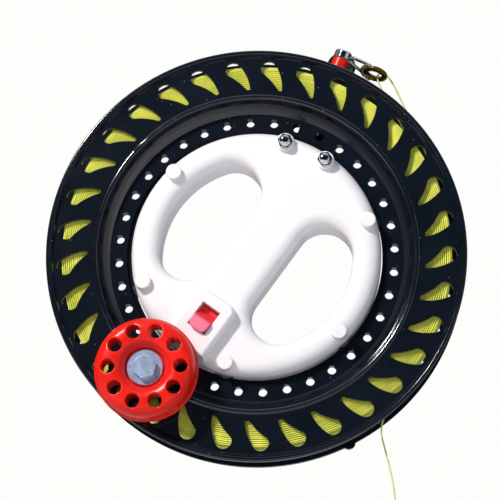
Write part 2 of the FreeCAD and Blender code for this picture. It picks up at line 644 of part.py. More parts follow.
def make_brake():
    """The brake: a red thumb slider, the steel tongue on it, its rivet and its detent spring."""
    slider = new_body("brake_slider")
    base = new_sketch(slider, "XZ_Plane", "slider_back")
    draw_box(base, "slider_start", "slider_end", "0 - slider_half", "slider_half")
    pad(slider, base, "slider_face - slider_back")
    top = "(0 - %s - tab_proud)" % HOUSING_FACE
    half = "(window_half - slider_gap)"
    thumb = draw(new_sketch(slider, "XY_Plane", "0 - " + half), [
        ("window_low + 1.2", "0 - slider_back - 1"),
        ("tab_neck", "0 - slider_back - 1"),
        ("tab_neck", top),
        ("tab_neck - 0.5", top, "13"),
        ("window_low + 3", "0 - slider_face - 1.4"),
        ("window_low + 1.2", "0 - slider_face - 1.2"),
    ][::-1])
    pad(slider, thumb, half + " * 2")
    lip = draw(new_sketch(slider, "XZ_Plane", HOUSING_FACE + " + slider_gap"), [
        ("tab_neck - 0.4", "0 - " + half),
        ("tab_end - 3.6", "0 - " + half, "3.6"),
        ("tab_end", "3.6 - " + half),
        ("tab_end", half + " - 3.6", "3.6"),
        ("tab_end - 3.6", half),
        ("tab_neck - 0.4", half),
    ])
    pad(slider, lip, "tab_proud - slider_gap")
    face = number(HOUSING_FACE + " + tab_proud")
    start = number("tab_neck")
    round_edges(slider, "0.7", lambda p: abs(p.y + face) < 1e-3 and p.x > start)
    stem = new_sketch(slider, "XZ_Plane", "0 - tongue_low")
    draw_box(stem, "rivet_place - 5", "rivet_place + 5", "0 - stem_half", "stem_half")
    pad(slider, stem, "tongue_low + slider_back + 1")
    hole = new_sketch(slider, "XZ_Plane", "0 - tongue_low")
    draw_circle(hole, "rivet_place", "0", "rivet_radius + seat_gap")
    slider_hole = pocket(slider, hole, "5", True)
    place(slider, angle=BRAKE_ANGLE)

    tongue = new_body("brake_tongue")
    plate = draw(new_sketch(tongue, "XZ_Plane", "0 - tongue_low"), [
        ("tongue_start", "0 - tongue_half"),
        ("tongue_tip - 0.8", "0 - tongue_half"),
        ("tongue_tip", "0.8 - tongue_half"),
        ("tongue_tip", "tongue_half - 0.8"),
        ("tongue_tip - 0.8", "tongue_half"),
        ("tongue_start", "tongue_half"),
    ])
    pad(tongue, plate, "tongue_thick", False)
    eye = new_sketch(tongue, "XZ_Plane", "0 - tongue_low")
    draw_circle(eye, "rivet_place", "0", "rivet_radius + seat_gap")
    pocket(tongue, eye, "tongue_thick")
    place(tongue, angle=BRAKE_ANGLE)

    rivet = new_body("brake_rivet")
    revolve(rivet, [
        ("0", "tongue_low - 4.5"),
        ("rivet_radius", "tongue_low - 4.5"),
        ("rivet_radius", "tongue_low + tongue_thick"),
        ("rivet_radius + 0.9", "tongue_low + tongue_thick"),
        ("rivet_radius + 0.5", "tongue_low + tongue_thick + 0.9"),
        ("0", "tongue_low + tongue_thick + 0.9"),
    ])
    place_polar(rivet, "rivet_place", BRAKE_ANGLE)

    spring = new_body("detent_spring")
    rise = "(slider_back - slider_gap)"
    bow = "((spring_half ^ 2 + %s ^ 2) / (2 * %s))" % (rise, rise)
    inner = "(%s - spring_thick)" % bow
    inner_half = "sqrt(%s ^ 2 - (%s - %s) ^ 2)" % (inner, bow, rise)
    strip = draw(new_sketch(spring, "XY_Plane", "0 - spring_width / 2"), [
        ("spring_place - spring_half", "0", bow),
        ("spring_place", "0 - " + rise, bow),
        ("spring_place + spring_half", "0"),
        ("spring_place + " + inner_half, "0", "0 - " + inner),
        ("spring_place", "spring_thick - " + rise, "0 - " + inner),
        ("spring_place - " + inner_half, "0"),
    ])
    pad(spring, strip, "spring_width")
    place(spring, angle=BRAKE_ANGLE)
    return slider_hole


def make_knob():
    """The winding knob with its bush, washer, bolt and threaded insert."""
    knob = new_body("winding_knob")
    height = "(knob_back + knob_height)"
    revolve(knob, [
        ("bush_radius + running_gap", "0 - knob_back - knob_floor"),
        ("knob_recess", "0 - knob_back - knob_floor"),
        ("knob_recess", "4 - " + height),
        ("knob_dish", "1.1 - " + height, "12"),
        ("knob_radius - 6.4", "0 - " + height, "10"),
        ("knob_radius - 0.8", "0 - knob_back - knob_lip - 0.4"),
        ("knob_radius", "0 - knob_back - knob_lip"),
        ("knob_radius", "0 - knob_back - 0.6"),
        ("knob_radius - 0.6", "0 - knob_back"),
        ("bush_radius + running_gap", "0 - knob_back"),
    ])
    hole = new_sketch(knob, "XZ_Plane", "knob_back")
    draw_circle(hole, "knob_hole_circle", "0", "knob_hole_radius")
    repeat(knob, [pocket(knob, hole, "knob_height", True)], "knob_hole_count")
    place_polar(knob, "knob_circle", KNOB_ANGLE)

    seat = "(knob_back + knob_floor + bush_end_gap)"
    bush = new_body("knob_bush")
    revolve(bush, [
        ("bolt_radius + seat_gap", "0 - " + seat),
        ("bush_radius", "0 - " + seat),
        ("bush_radius", "0 - " + BOSS_FACE),
        ("bolt_radius + seat_gap", "0 - " + BOSS_FACE),
    ])
    place_polar(bush, "knob_circle", KNOB_ANGLE)

    washer = new_body("knob_washer")
    top = "(%s + washer_thick)" % seat
    revolve(washer, [
        ("bolt_radius + seat_gap", "0 - " + top),
        ("washer_radius - 0.3", "0 - " + top),
        ("washer_radius", "0.3 - " + top),
        ("washer_radius", "0 - " + seat),
        ("bolt_radius + seat_gap", "0 - " + seat),
    ])
    place_polar(washer, "knob_circle", KNOB_ANGLE)

    bolt = new_body("knob_bolt")
    corner = "(bolt_flat / 2 / cos(30))"
    head = draw(new_sketch(bolt, "XZ_Plane", top), [
        ("%s * cos(%d)" % (corner, angle), "%s * sin(%d)" % (corner, angle))
        for angle in range(17, 377, 60)
    ])
    pad(bolt, head, "bolt_head")
    shank = new_sketch(bolt, "XZ_Plane", top)
    draw_circle(shank, "0", "0", "bolt_radius")
    pad(bolt, shank, top + " - " + BOSS_FACE + " + bolt_depth", False)
    cone = [
        ("bolt_flat / 2 - 0.3", "0 - %s - bolt_head" % top),
        ("bolt_flat / 2 + 2", "0 - %s - bolt_head" % top),
        ("bolt_flat / 2 + 2", "1.3 - %s - bolt_head" % top),
    ]
    revolve(bolt, cone, kind="PartDesign::Groove")
    place_polar(bolt, "knob_circle", KNOB_ANGLE)

    insert = new_body("knob_insert")
    deep = "(%s - insert_length)" % BOSS_FACE
    revolve(insert, [
        ("bolt_radius + seat_gap", "0 - " + BOSS_FACE),
        ("insert_radius", "0 - " + BOSS_FACE),
        ("insert_radius", "0 - %s - insert_length * 0.66" % deep),
        ("insert_radius - 0.6", "0 - %s - insert_length * 0.6" % deep),
        ("insert_radius - 0.6", "0 - %s - insert_length * 0.4" % deep),
        ("insert_radius", "0 - %s - insert_length * 0.34" % deep),
        ("insert_radius", "0 - " + deep),
        ("bolt_radius + seat_gap", "0 - " + deep),
    ])
    place_polar(insert, "knob_circle", KNOB_ANGLE)


def foot_side(angle, side):
    """Where the bracket's foot ends, beyond a bolt, across the arm."""
    sign = " + " if side > 0 else " - "
    return "roller_circle * sin(%s - guide_angle)%sfoot_spare" % (angle, sign)


def make_guide():
    """The line guide: bracket, bolts, dome nuts, stud, ferrule, sleeve, wire frame and eye."""
    bracket = new_body("guide_bracket")
    low = foot_side("low_bolt_angle", -1)
    high = foot_side(HIGH_BOLT_ANGLE, 1)
    outline = draw(new_sketch(bracket, "XZ_Plane", "0 - " + PLATE_FACE), [
        ("foot_inner", low + " + 3"),
        ("foot_inner + 3", low),
        ("foot_outer - 3", low),
        ("foot_outer", low + " + 3"),
        ("foot_outer", "0 - arm_half"),
        ("arm_end", "0 - arm_half", "arm_half"),
        ("arm_end + arm_half", "0", "arm_half"),
        ("arm_end", "arm_half"),
        ("foot_outer", "arm_half"),
        ("foot_outer", high + " - 3"),
        ("foot_outer - 3", high),
        ("foot_inner + 3", high),
        ("foot_inner", high + " - 3"),
    ])
    pad(bracket, outline, "plate_thick", False)
    for angle in ("low_bolt_angle", HIGH_BOLT_ANGLE):
        hole = new_sketch(bracket, "XZ_Plane", "0 - " + PLATE_FACE, angle + " - guide_angle")
        draw_circle(hole, "roller_circle", "0", "pin_radius + seat_gap")
        pocket(bracket, hole, "plate_thick")
    back = number(PLATE_BACK)
    reach = number("foot_outer")
    round_edges(bracket, "plate_thick - 0.1", lambda p: abs(p.y - back) < 1e-3 and any(
        abs(math.hypot(p.x - number("roller_circle * cos(%s - guide_angle)" % angle),
                       p.z - number("roller_circle * sin(%s - guide_angle)" % angle))
            - number("pin_radius + seat_gap")) < 1e-3
        for angle in ("low_bolt_angle", HIGH_BOLT_ANGLE)) and p.x < reach, "PartDesign::Chamfer")
    stud_hole = new_sketch(bracket, "XZ_Plane", "0 - " + PLATE_FACE)
    draw_circle(stud_hole, "stud_place", "0", "stud_radius + seat_gap")
    pocket(bracket, stud_hole, "plate_thick")
    place(bracket, angle="guide_angle")

    bolts = new_body("guide_bolts")
    for angle in ("low_bolt_angle", HIGH_BOLT_ANGLE):
        shank = new_sketch(bolts, "XZ_Plane", "0 - " + PLATE_BACK, angle)
        draw_circle(shank, "roller_circle", "0", "pin_radius")
        pad(bolts, shank, PLATE_BACK + " + " + COLLAR_FACE + " + nut_base")
        head = new_sketch(bolts, "XZ_Plane", "0 - " + PLATE_FACE + " - slider_gap", angle)
        draw_circle(head, "roller_circle", "0", "pin_radius")
        pad(bolts, head, "plate_thick - slider_gap", False, "(0 - 44)")

    nuts = new_body("guide_dome_nuts")
    corner = "(nut_flat / 2 / cos(30))"
    for index, angle in enumerate(("low_bolt_angle", HIGH_BOLT_ANGLE)):
        flats = draw(new_sketch(nuts, "XZ_Plane", COLLAR_FACE, angle), [
            ("roller_circle + %s * cos(%d)" % (corner, turn), "%s * sin(%d)" % (corner, turn))
            for turn in range(11 + 20 * index, 371 + 20 * index, 60)
        ])
        pad(nuts, flats, "nut_base")
        dome = new_sketch(nuts, "XZ_Plane", COLLAR_FACE + " + nut_base - 0.2", angle)
        draw_circle(dome, "roller_circle", "0", "nut_dome")
        pad(nuts, dome, "2.6")
        bore = new_sketch(nuts, "XZ_Plane", COLLAR_FACE, angle)
        draw_circle(bore, "roller_circle", "0", "pin_radius + seat_gap")
        pocket(nuts, bore, "nut_base + seat_gap", True)
    crown = number(COLLAR_FACE + " + nut_base + 2.4")
    round_edges(nuts, "2", lambda p: abs(p.y + crown) < 1e-3)

    stud = new_body("guide_stud")
    revolve(stud, [
        ("0", "guide_depth + core_pin_radius + stud_gap"),
        ("stud_radius", "guide_depth + core_pin_radius + stud_gap"),
        ("stud_radius", PLATE_BACK),
        ("0", PLATE_BACK),
    ])
    place_polar(stud, "stud_place", "guide_angle")

    ferrule = new_body("guide_ferrule")
    half = "ferrule_length / 2"
    revolve(ferrule, [
        ("stud_place - " + half, "core_pin_radius + seat_gap"),
        ("stud_place + " + half, "core_pin_radius + seat_gap"),
        ("stud_place + " + half, "ferrule_radius - 0.8"),
        ("stud_place + %s - 0.8" % half, "ferrule_radius"),
        ("stud_place - %s + 0.8" % half, "ferrule_radius"),
        ("stud_place - " + half, "ferrule_radius - 0.8"),
    ], "H_Axis")
    cross = new_sketch(ferrule, "XZ_Plane", "0 - core_pin_radius - stud_gap")
    draw_circle(cross, "stud_place", "0", "stud_radius + seat_gap")
    pocket(ferrule, cross, "ferrule_radius")
    place(ferrule, back="guide_depth", angle="guide_angle")

    sleeve = new_body("guide_sleeve")
    top = "(stud_place - %s)" % half
    revolve(sleeve, [
        (top + " - sleeve_length", "core_pin_radius + seat_gap"),
        (top, "core_pin_radius + seat_gap"),
        (top, "sleeve_radius"),
        (top + " - sleeve_length + 0.6", "sleeve_radius"),
        (top + " - sleeve_length", "sleeve_radius - 0.6"),
    ], "H_Axis")
    place(sleeve, back="guide_depth", angle="guide_angle")

    pin = new_body("guide_pin")
    revolve(pin, [
        (top + " - sleeve_length", "0"),
        ("stud_place + " + half, "0"),
        ("stud_place + " + half, "core_pin_radius"),
        (top + " - sleeve_length", "core_pin_radius"),
    ], "H_Axis")
    place(pin, back="guide_depth", angle="guide_angle")


def add_shape(name, shape):
    """A sub-part whose shape is worked out from the sheet's sizes."""
    item = doc.addObject("Part::Feature", name)
    item.Label = name
    item.Shape = shape
    return item


def rounded_path(points):
    """Straight runs from point to point, joined by tangent arcs; also gives the arcs' radii."""
    edges = []
    radii = []
    last = points[0]
    for before, corner, after in zip(points, points[1:], points[2:]):
        way_in = (corner - before).normalize()
        way_out = (after - corner).normalize()
        half_turn = way_in.getAngle(way_out) / 2
        reach = 0.45 * min((corner - before).Length, (after - corner).Length)
        radii.append(reach / math.tan(half_turn))
        entry = corner - way_in * reach
        leave = corner + way_out * reach
        depth = radii[-1] / math.cos(half_turn) - radii[-1]
        middle = corner + (way_out - way_in).normalize() * depth
        edges.append(Part.LineSegment(last, entry).toShape())
        edges.append(Part.Arc(entry, middle, leave).toShape())
        last = leave
    edges.append(Part.LineSegment(last, points[-1]).toShape())
    return Part.Wire(edges), radii


def round_tube(path, start, way, radius):
    """A round tube along a path."""
    section = Part.Wire([Part.Circle(start, way, radius).toShape()])
    return path.makePipeShell([section], True, False)


def make_eye():
    """The guide's eye, and the bent wire that holds it to the ferrule."""
    centre = FreeCAD.Vector(number("eye_right"), 0, number("eye_up"))
    axis = FreeCAD.Vector(EYE_AXIS).normalize()
    left = FreeCAD.Vector(-1, 0, 0)
    left = (left - axis * left.dot(axis)).normalize()
    across = axis.cross(left)
    major = number("eye_major")
    wire = number("wire_radius")
    add_shape("guide_eye", Part.makeTorus(major, number("eye_minor"), centre, axis))
    angle = math.radians(number("guide_angle"))
    outward = FreeCAD.Vector(math.cos(angle), 0, math.sin(angle))
    side = FreeCAD.Vector(math.sin(angle), 0, -math.cos(angle))
    hold = outward * number("stud_place") + FreeCAD.Vector(0, number("guide_depth"), 0)
    hold += side * number("ferrule_radius - 0.9")
    spread = outward * number("ferrule_length / 2 - wire_radius - 0.6")
    seat = centre + left * number("eye_major + eye_minor + wire_radius + seat_gap")
    points = [hold + spread, seat + across * major, seat - across * major, hold - spread]
    path, radii = rounded_path(points)
    add_shape("guide_wire_frame", round_tube(path, points[0], points[1] - points[0], wire))


def make_winding():
    """The wound line: a plain core, and its outer layer as one unbroken tube."""
    core = new_body("wound_line_core")
    face = "(%s - seat_gap)" % BAND_BACK
    revolve(core, [
        ("drum_radius + seat_gap", "0 - " + face),
        ("wound_radius", "0 - " + face),
        ("wound_radius", face),
        ("drum_radius + seat_gap", face),
    ])
    radius = number("wound_radius + seat_gap + line_radius")
    pitch = number("wound_pitch")
    turns = int(number("wound_turns"))
    wire = number("line_radius")
    slope = pitch / (2 * math.pi * radius)

    def place_at(turn):
        angle = 2 * math.pi * turn
        return FreeCAD.Vector(radius * math.cos(angle), pitch * (turn - turns / 2), radius * math.sin(angle))

    def way_at(turn):
        angle = 2 * math.pi * turn
        return FreeCAD.Vector(-math.sin(angle), slope, math.cos(angle)).normalize()

    edges = []
    for step in range(turns * 2):
        edges += biarc(place_at(step / 2), way_at(step / 2), place_at((step + 1) / 2), way_at((step + 1) / 2))
    straight = wire * 2
    start = place_at(0)
    finish = place_at(turns)
    edges.insert(0, Part.LineSegment(start - way_at(0) * straight, start).toShape())
    edges.append(Part.LineSegment(finish, finish + way_at(turns) * straight).toShape())
    path = Part.Wire(edges)
    layer = round_tube(path, start - way_at(0) * straight, way_at(0), wire)
    add_shape("wound_line_layer", layer)
    print("wound layer: %d turns, least gap to itself %.2f mm" % (turns, least_gap(edges, pitch, wire)))
    print("wound layer: volume %.1f, section times length %.1f"
          % (layer.Volume, math.pi * wire ** 2 * path.Length))


def least_gap(edges, pitch, wire):
    """The least distance between neighbouring turns, less the line's thickness, on points."""
    points = []
    for edge in edges:
        points += edge.discretize(9)
    least = pitch * 10
    for index in range(0, len(points), 5):
        first = points[index]
        for other in points[index + 1:]:
            apart = abs(other.y - first.y)
            if pitch * 0.6 < apart < pitch * 1.6:
                least = min(least, first.distanceToPoint(other))
    return least - 2 * wire


def biarc(start, start_way, finish, finish_way):
    """Two tangent arcs from one point and direction to another."""
    chord = finish - start
    total = start_way + finish_way
    half_b = chord.dot(total)
    lead = 2 * (1 - start_way.dot(finish_way))
    reach = (math.sqrt(half_b ** 2 + lead * chord.dot(chord)) - half_b) / lead
    first = start + start_way * reach
    second = finish - finish_way * reach
    joint = (first + second) * 0.5
    return [tangent_arc(start, start_way, joint), tangent_arc(finish, finish_way * -1, joint, True)]


def tangent_arc(start, way, finish, backwards=False):
    """The arc that leaves start along a direction and ends at finish."""
    chord = finish - start
    normal = way.cross(chord).cross(way).normalize()
    radius = chord.dot(chord) / (2 * normal.dot(chord))
    centre = start + normal * radius
    middle = centre + ((start + finish) * 0.5 - centre).normalize() * radius
    ends = (finish, start) if backwards else (start, finish)
    return Part.Arc(ends[0], middle, ends[1]).toShape()


# The free line: off the wound line, through the eye, over its rim, back into the channel and down.
LINE_ROUTE = (
    (90.9, -4, 43.5),
    (79.2, -2.6, 66.8),
    (68.2, -0.6, 89.2),
    (64.6, 0.4, 98.2),
    (66.4, 1.4, 101.6),
    (70.4, 2.4, 100.6),
    (74.0, 2.8, 94.8),
    (78.3, 3, 85),
    (84, 3, 71.4),
    (91.6, 3, 53.6),
    (98.5, 3, 33),
    (101.9, 3, 9),
    (101.6, 3, -15),
    (96.2, 3, -37),
    (85.5, 3, -57),
    (70.5, 2.6, -76.5),
    (63.2, 2, -90.5),
    (66.6, 1.2, -104.5),
    (69.6, 0.6, -117.5),
    (71.2, 0, -131.5),
    (72, 0, -142),
)


def make_free_line():
    """The free line as straight runs joined by tangent arcs."""
    points = [FreeCAD.Vector(*place) for place in LINE_ROUTE]
    wire = number("line_radius")
    path, radii = rounded_path(points)
    line = round_tube(path, points[0], points[1] - points[0], wire)
    add_shape("free_line", line)
    print("free line radii: " + ", ".join("%.1f" % radius for radius in radii))
    print("free line: length %.1f, volume %.2f, section times length %.2f"
          % (path.Length, line.Volume, math.pi * wire ** 2 * path.Length))


def make_line_clip():
    """The swivel clip on the line's end: a barrel, an eye above it and a loop of wire below."""
    end = FreeCAD.Vector(*LINE_ROUTE[-1])
    down = FreeCAD.Vector(0, 0, -1)
    wire = number("line_radius")
    eye = Part.makeTorus(1.5, 0.5, end + down * (wire + 2.05), FreeCAD.Vector(0, 1, 0))
    top = end + down * (wire + 3.6)
    barrel = Part.makeCylinder(1.6, 5, top, down)
    barrel = barrel.makeFillet(0.7, barrel.Edges)
    loop_centre = top + down * 8.6
    loop = Part.makeTorus(3.8, 0.5, loop_centre, FreeCAD.Vector(0, 1, 0))
    add_shape("line_clip", eye.multiFuse([barrel, loop]))


def check_and_write():
    """Checks every object and writes each sub-part's solid."""
    doc.recompute()
    bad = [item.Name for item in doc.Objects if {"Invalid", "Error"} & set(item.State)]
    if bad:
        raise RuntimeError("failed objects: " + ", ".join(bad))
    kinds = ("PartDesign::Body", "Part::Feature")
    nodes = [item for item in doc.Objects if item.TypeId in kinds]
    os.makedirs("parts", exist_ok=True)
    for item in nodes:
        if item.Shape.isNull() or not item.Shape.isValid() or not item.Shape.Solids:
            raise RuntimeError("no valid solid: " + item.Label)
    for item in nodes:
        item.Shape.exportStep("parts/%s.step" % item.Label)
    print("%d nodes, %d solids" % (len(nodes), sum(len(item.Shape.Solids) for item in nodes)))


make_hub()
make_flange("front_flange", True)
make_flange("rear_flange", False)
make_front_shell()
make_rear_shell()
make_rollers()
make_bearing_rings()
make_roller_pins()
make_shell_screws()
make_brake()
make_knob()
make_guide()
doc.recompute()
make_eye()
make_winding()
make_free_line()
make_line_clip()
check_and_write()
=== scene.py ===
"""Finishes a hand-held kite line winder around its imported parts.

The reel, handle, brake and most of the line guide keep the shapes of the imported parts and
get their finishes here. Made here are the knob, the guide's eye and its wire frame, the
rounded beads on the flanges' lips, the wound line strand by strand, and the free line.
Every length is in metres, +Z is up and the camera looks along +Y.
"""

import math
import random

import bmesh
import bpy
from bpy.props import FloatProperty, FloatVectorProperty, IntProperty, PointerProperty
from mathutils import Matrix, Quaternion, Vector
from mathutils.geometry import delaunay_2d_cdt


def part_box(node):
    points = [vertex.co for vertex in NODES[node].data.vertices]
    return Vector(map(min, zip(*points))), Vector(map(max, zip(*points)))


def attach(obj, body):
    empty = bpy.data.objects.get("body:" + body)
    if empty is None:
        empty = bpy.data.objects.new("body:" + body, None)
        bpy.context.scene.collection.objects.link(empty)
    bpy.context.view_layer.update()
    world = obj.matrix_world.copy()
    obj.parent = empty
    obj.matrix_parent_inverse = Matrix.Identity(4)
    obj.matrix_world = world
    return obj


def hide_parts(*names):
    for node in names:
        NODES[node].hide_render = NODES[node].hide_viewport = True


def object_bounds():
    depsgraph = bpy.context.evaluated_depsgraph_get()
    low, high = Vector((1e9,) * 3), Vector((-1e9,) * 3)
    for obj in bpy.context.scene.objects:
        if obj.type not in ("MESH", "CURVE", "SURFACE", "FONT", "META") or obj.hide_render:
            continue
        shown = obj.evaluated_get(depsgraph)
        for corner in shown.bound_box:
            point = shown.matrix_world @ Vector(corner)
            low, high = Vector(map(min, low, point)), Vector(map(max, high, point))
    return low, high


bl_info = {
    "name": "Kite line winder",
    "version": (1, 0, 0),
    "blender": (4, 5, 0),
    "location": "View3D > Sidebar > Winder",
    "description": "Finishes a kite line winder around its packed parts",
    "category": "Object",
}

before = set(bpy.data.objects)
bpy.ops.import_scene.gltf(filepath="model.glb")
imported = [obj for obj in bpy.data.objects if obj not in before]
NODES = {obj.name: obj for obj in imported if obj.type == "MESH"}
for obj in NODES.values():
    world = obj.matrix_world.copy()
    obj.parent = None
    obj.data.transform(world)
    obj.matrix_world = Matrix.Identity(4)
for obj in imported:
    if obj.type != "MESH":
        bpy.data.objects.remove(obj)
CAD_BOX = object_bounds()

MM = 0.001
TAU = math.tau

# The free line's control points in millimetres, from the winding up to the eye, then down
# behind the rear flange to the clip.
LINE_ROUTE = (
    (90.9, -4, 43.5), (79.2, -2.6, 66.8), (68.2, -0.6, 89.2), (64.6, 0.4, 98.2),
    (66.4, 1.4, 101.6), (70.4, 2.4, 100.6), (74.0, 2.8, 94.8), (78.3, 3, 85),
    (84, 3, 71.4), (91.6, 3, 53.6), (98.5, 3, 33), (101.9, 3, 9),
    (101.6, 3, -15), (96.2, 3, -37), (85.5, 3, -57), (70.5, 2.6, -76.5),
    (63.2, 2, -90.5), (66.6, 1.2, -104.5), (69.6, 0.6, -117.5), (71.2, 0, -131.5),
    (72, 0, -142),
)
LINE_DIAMETER = 0.0009

# The line guide's eye: its centre, its axis, its rim's radius and the radius of the rim's
# round. FRAME_WIRE is the radius of the wire that holds the eye.
EYE_PLACE = (0.064, 0.0, 0.1004)
EYE_AXIS = (0.3, 0.21, 0.93)
EYE_RADIUS = 5.8 * MM
EYE_ROUND = 1.05 * MM
FRAME_WIRE = 0.95 * MM

# Colours of what the camera sees behind the part, of the even light on its dull faces, and
# of the floor with its darker patches.
BACKDROP = (0.985, 0.985, 0.965)
SKY = (0.78, 0.80, 1.0)
FLOOR = (0.80, 0.80, 0.79)
FLOOR_PATCH = (0.76, 0.76, 0.75)

# The room round the part as its glossy faces see it: how high a direction points, from
# -1 straight down to 1 straight up, and the colour of the room there.
ROOM = (
    (-1.0, (0.05, 0.045, 0.04)), (-0.25, (0.04, 0.035, 0.03)), (-0.04, (0.016, 0.019, 0.026)),
    (0.36, (0.010, 0.014, 0.022)), (0.55, (0.07, 0.08, 0.11)), (0.80, (0.42, 0.45, 0.52)),
    (1.0, (1.0, 1.05, 1.15)),
)


class StageSettings(bpy.types.PropertyGroup):
    """Camera, lights and floor."""

    azimuth: FloatProperty(
        name="Azimuth", description="Camera's turn about the vertical, 0 in front",
        default=math.radians(2.54), subtype="ANGLE")
    elevation: FloatProperty(
        name="Elevation", description="Camera's height angle, below zero looks up",
        default=math.radians(-13.15), subtype="ANGLE")
    distance: FloatProperty(
        name="Distance", description="From the camera to the front flange's face",
        default=1.0, unit="LENGTH")
    lens: FloatProperty(
        name="Lens", description="Focal length in millimetres", default=138.1)
    aim: FloatVectorProperty(
        name="Aim", description="The view's middle, right and up of the reel's axis",
        size=2, default=(-0.00287, 0.00042), unit="LENGTH")
    key_power: FloatProperty(
        name="Key light", description="Power of the upper left softbox in watts",
        default=18.5)
    sky_strength: FloatProperty(
        name="Sky", description="Strength of the even light from all round",
        default=0.34)
    floor_drop: FloatProperty(
        name="Floor drop", description="From the part's lowest point down to the floor",
        default=0.10, unit="LENGTH")


class LineSettings(bpy.types.PropertyGroup):
    """The kite line and how it lies on the drum."""

    colour: FloatVectorProperty(
        name="Line", description="Colour of the line in the light", subtype="COLOR",
        size=3, min=0.0, max=1.0, default=(0.95, 0.95, 0.13))
    free_colour: FloatVectorProperty(
        name="Free line", description="Colour of the free line", subtype="COLOR",
        size=3, min=0.0, max=1.0, default=(0.80, 0.84, 0.30))
    pitch: FloatProperty(
        name="Pitch", description="From one strand to the next beside it",
        default=1.08 * MM, unit="LENGTH")
    strand: FloatProperty(
        name="Strand", description="Thickness of a wound strand, pressed by its neighbours",
        default=0.68 * MM, unit="LENGTH")
    inner_radius: FloatProperty(
        name="First layer", description="Radius of the lowest layer's strands",
        default=88.4 * MM, unit="LENGTH")
    outer_radius: FloatProperty(
        name="Last layer", description="Radius of the outermost full layer",
        default=101.9 * MM, unit="LENGTH")
    half_width: FloatProperty(
        name="Half width", description="From the middle to the outermost strand",
        default=9.27 * MM, unit="LENGTH")
    wobble: FloatProperty(
        name="Wobble", description="How far a strand strays from its even place",
        default=0.13 * MM, unit="LENGTH")
    points: IntProperty(
        name="Points", description="Points in one turn of a strand", default=90)


class PlasticSettings(bpy.types.PropertyGroup):
    """Colours of the moulded parts."""

    white: FloatVectorProperty(
        name="Handle white", description="Handle shells", subtype="COLOR",
        size=3, min=0.0, max=1.0, default=(0.88, 0.87, 0.875))
    black: FloatVectorProperty(
        name="Reel black", description="Reel hub and flanges", subtype="COLOR",
        size=3, min=0.0, max=1.0, default=(0.0042, 0.0068, 0.0115))
    red: FloatVectorProperty(
        name="Knob red", description="Winding knob", subtype="COLOR",
        size=3, min=0.0, max=1.0, default=(0.85, 0.012, 0.003))
    # The brake's two reds are painted light: the tab's pale pink is a painted highlight where
    # the key light falls, and the hollow's deeper red is the slider in shade.
    brake: FloatVectorProperty(
        name="Brake red", description="Brake slider's hollow", subtype="COLOR",
        size=3, min=0.0, max=1.0, default=(0.84, 0.025, 0.045))
    brake_lit_tab: FloatVectorProperty(
        name="Brake tab", description="Brake slider's proud tab, rubbed paler",
        subtype="COLOR", size=3, min=0.0, max=1.0, default=(0.90, 0.20, 0.32))


class MetalSettings(bpy.types.PropertyGroup):
    """Colours of the metal parts."""

    zinc: FloatVectorProperty(
        name="Zinc", description="Knob bolt and washer", subtype="COLOR",
        size=3, min=0.0, max=1.0, default=(0.50, 0.62, 0.84))
    chrome: FloatVectorProperty(
        name="Chrome", description="Dome nuts, ferrule and wire frame", subtype="COLOR",
        size=3, min=0.0, max=1.0, default=(0.80, 0.81, 0.83))
    steel: FloatVectorProperty(
        name="Steel", description="Guide bracket, screws and bearings", subtype="COLOR",
        size=3, min=0.0, max=1.0, default=(0.36, 0.33, 0.24))
    bronze: FloatVectorProperty(
        name="Eye", description="Line eye", subtype="COLOR",
        size=3, min=0.0, max=1.0, default=(0.22, 0.12, 0.025))
    brass: FloatVectorProperty(
        name="Brass", description="Knob bush and insert", subtype="COLOR",
        size=3, min=0.0, max=1.0, default=(0.62, 0.42, 0.14))


class KnobSettings(bpy.types.PropertyGroup):
    """The winding knob. Heights are from its back."""

    radius: FloatProperty(
        name="Radius", description="Radius of the knob's side", default=26.8 * MM,
        unit="LENGTH")
    height: FloatProperty(
        name="Height", description="From the back to the crown of the face",
        default=14.6 * MM, unit="LENGTH")
    side_top: FloatProperty(
        name="Side top", description="Where the side meets the round of the face",
        default=8.6 * MM, unit="LENGTH")
    dish: FloatProperty(
        name="Dish", description="Radius of the dish in the face", default=13.0 * MM,
        unit="LENGTH")
    recess: FloatProperty(
        name="Recess", description="Radius of the washer's recess", default=10.2 * MM,
        unit="LENGTH")
    floor: FloatProperty(
        name="Recess floor", description="Height of that recess's floor",
        default=7.4 * MM, unit="LENGTH")
    bore: FloatProperty(
        name="Bore", description="Radius of the bore over the bush", default=5.06 * MM,
        unit="LENGTH")
    hole_circle: FloatProperty(
        name="Hole circle", description="Radius of the circle of holes",
        default=18.5 * MM, unit="LENGTH")
    hole_radius: FloatProperty(
        name="Hole radius", description="Radius of a hole through the knob",
        default=3.55 * MM, unit="LENGTH")
    hole_rim: FloatProperty(
        name="Hole rim", description="Round of a hole's front edge",
        default=0.5 * MM, unit="LENGTH")
    hole_count: IntProperty(
        name="Holes", description="Number of holes through the knob", default=10)
    around: IntProperty(
        name="Steps", description="Steps round the knob", default=160)


class WinderSettings(bpy.types.PropertyGroup):
    """All settings of the winder."""

    stage: PointerProperty(
        name="Stage", description="Camera, lights and floor", type=StageSettings)
    line: PointerProperty(
        name="Line", description="The kite line on the drum", type=LineSettings)
    plastic: PointerProperty(
        name="Plastic", description="Colours of the moulded parts", type=PlasticSettings)
    metal: PointerProperty(
        name="Metal", description="Colours of the metal parts", type=MetalSettings)
    knob: PointerProperty(
        name="Knob", description="Sizes of the winding knob", type=KnobSettings)


def new_finish(name, colour, roughness, metallic=0.0):
    """A material with one principled shader, and that shader."""
    material = bpy.data.materials.new(name)
    material.use_nodes = True
    shader = material.node_tree.nodes["Principled BSDF"]
    shader.inputs["Base Color"].default_value = (*colour, 1)
    shader.inputs["Roughness"].default_value = roughness
    shader.inputs["Metallic"].default_value = metallic
    return material, shader


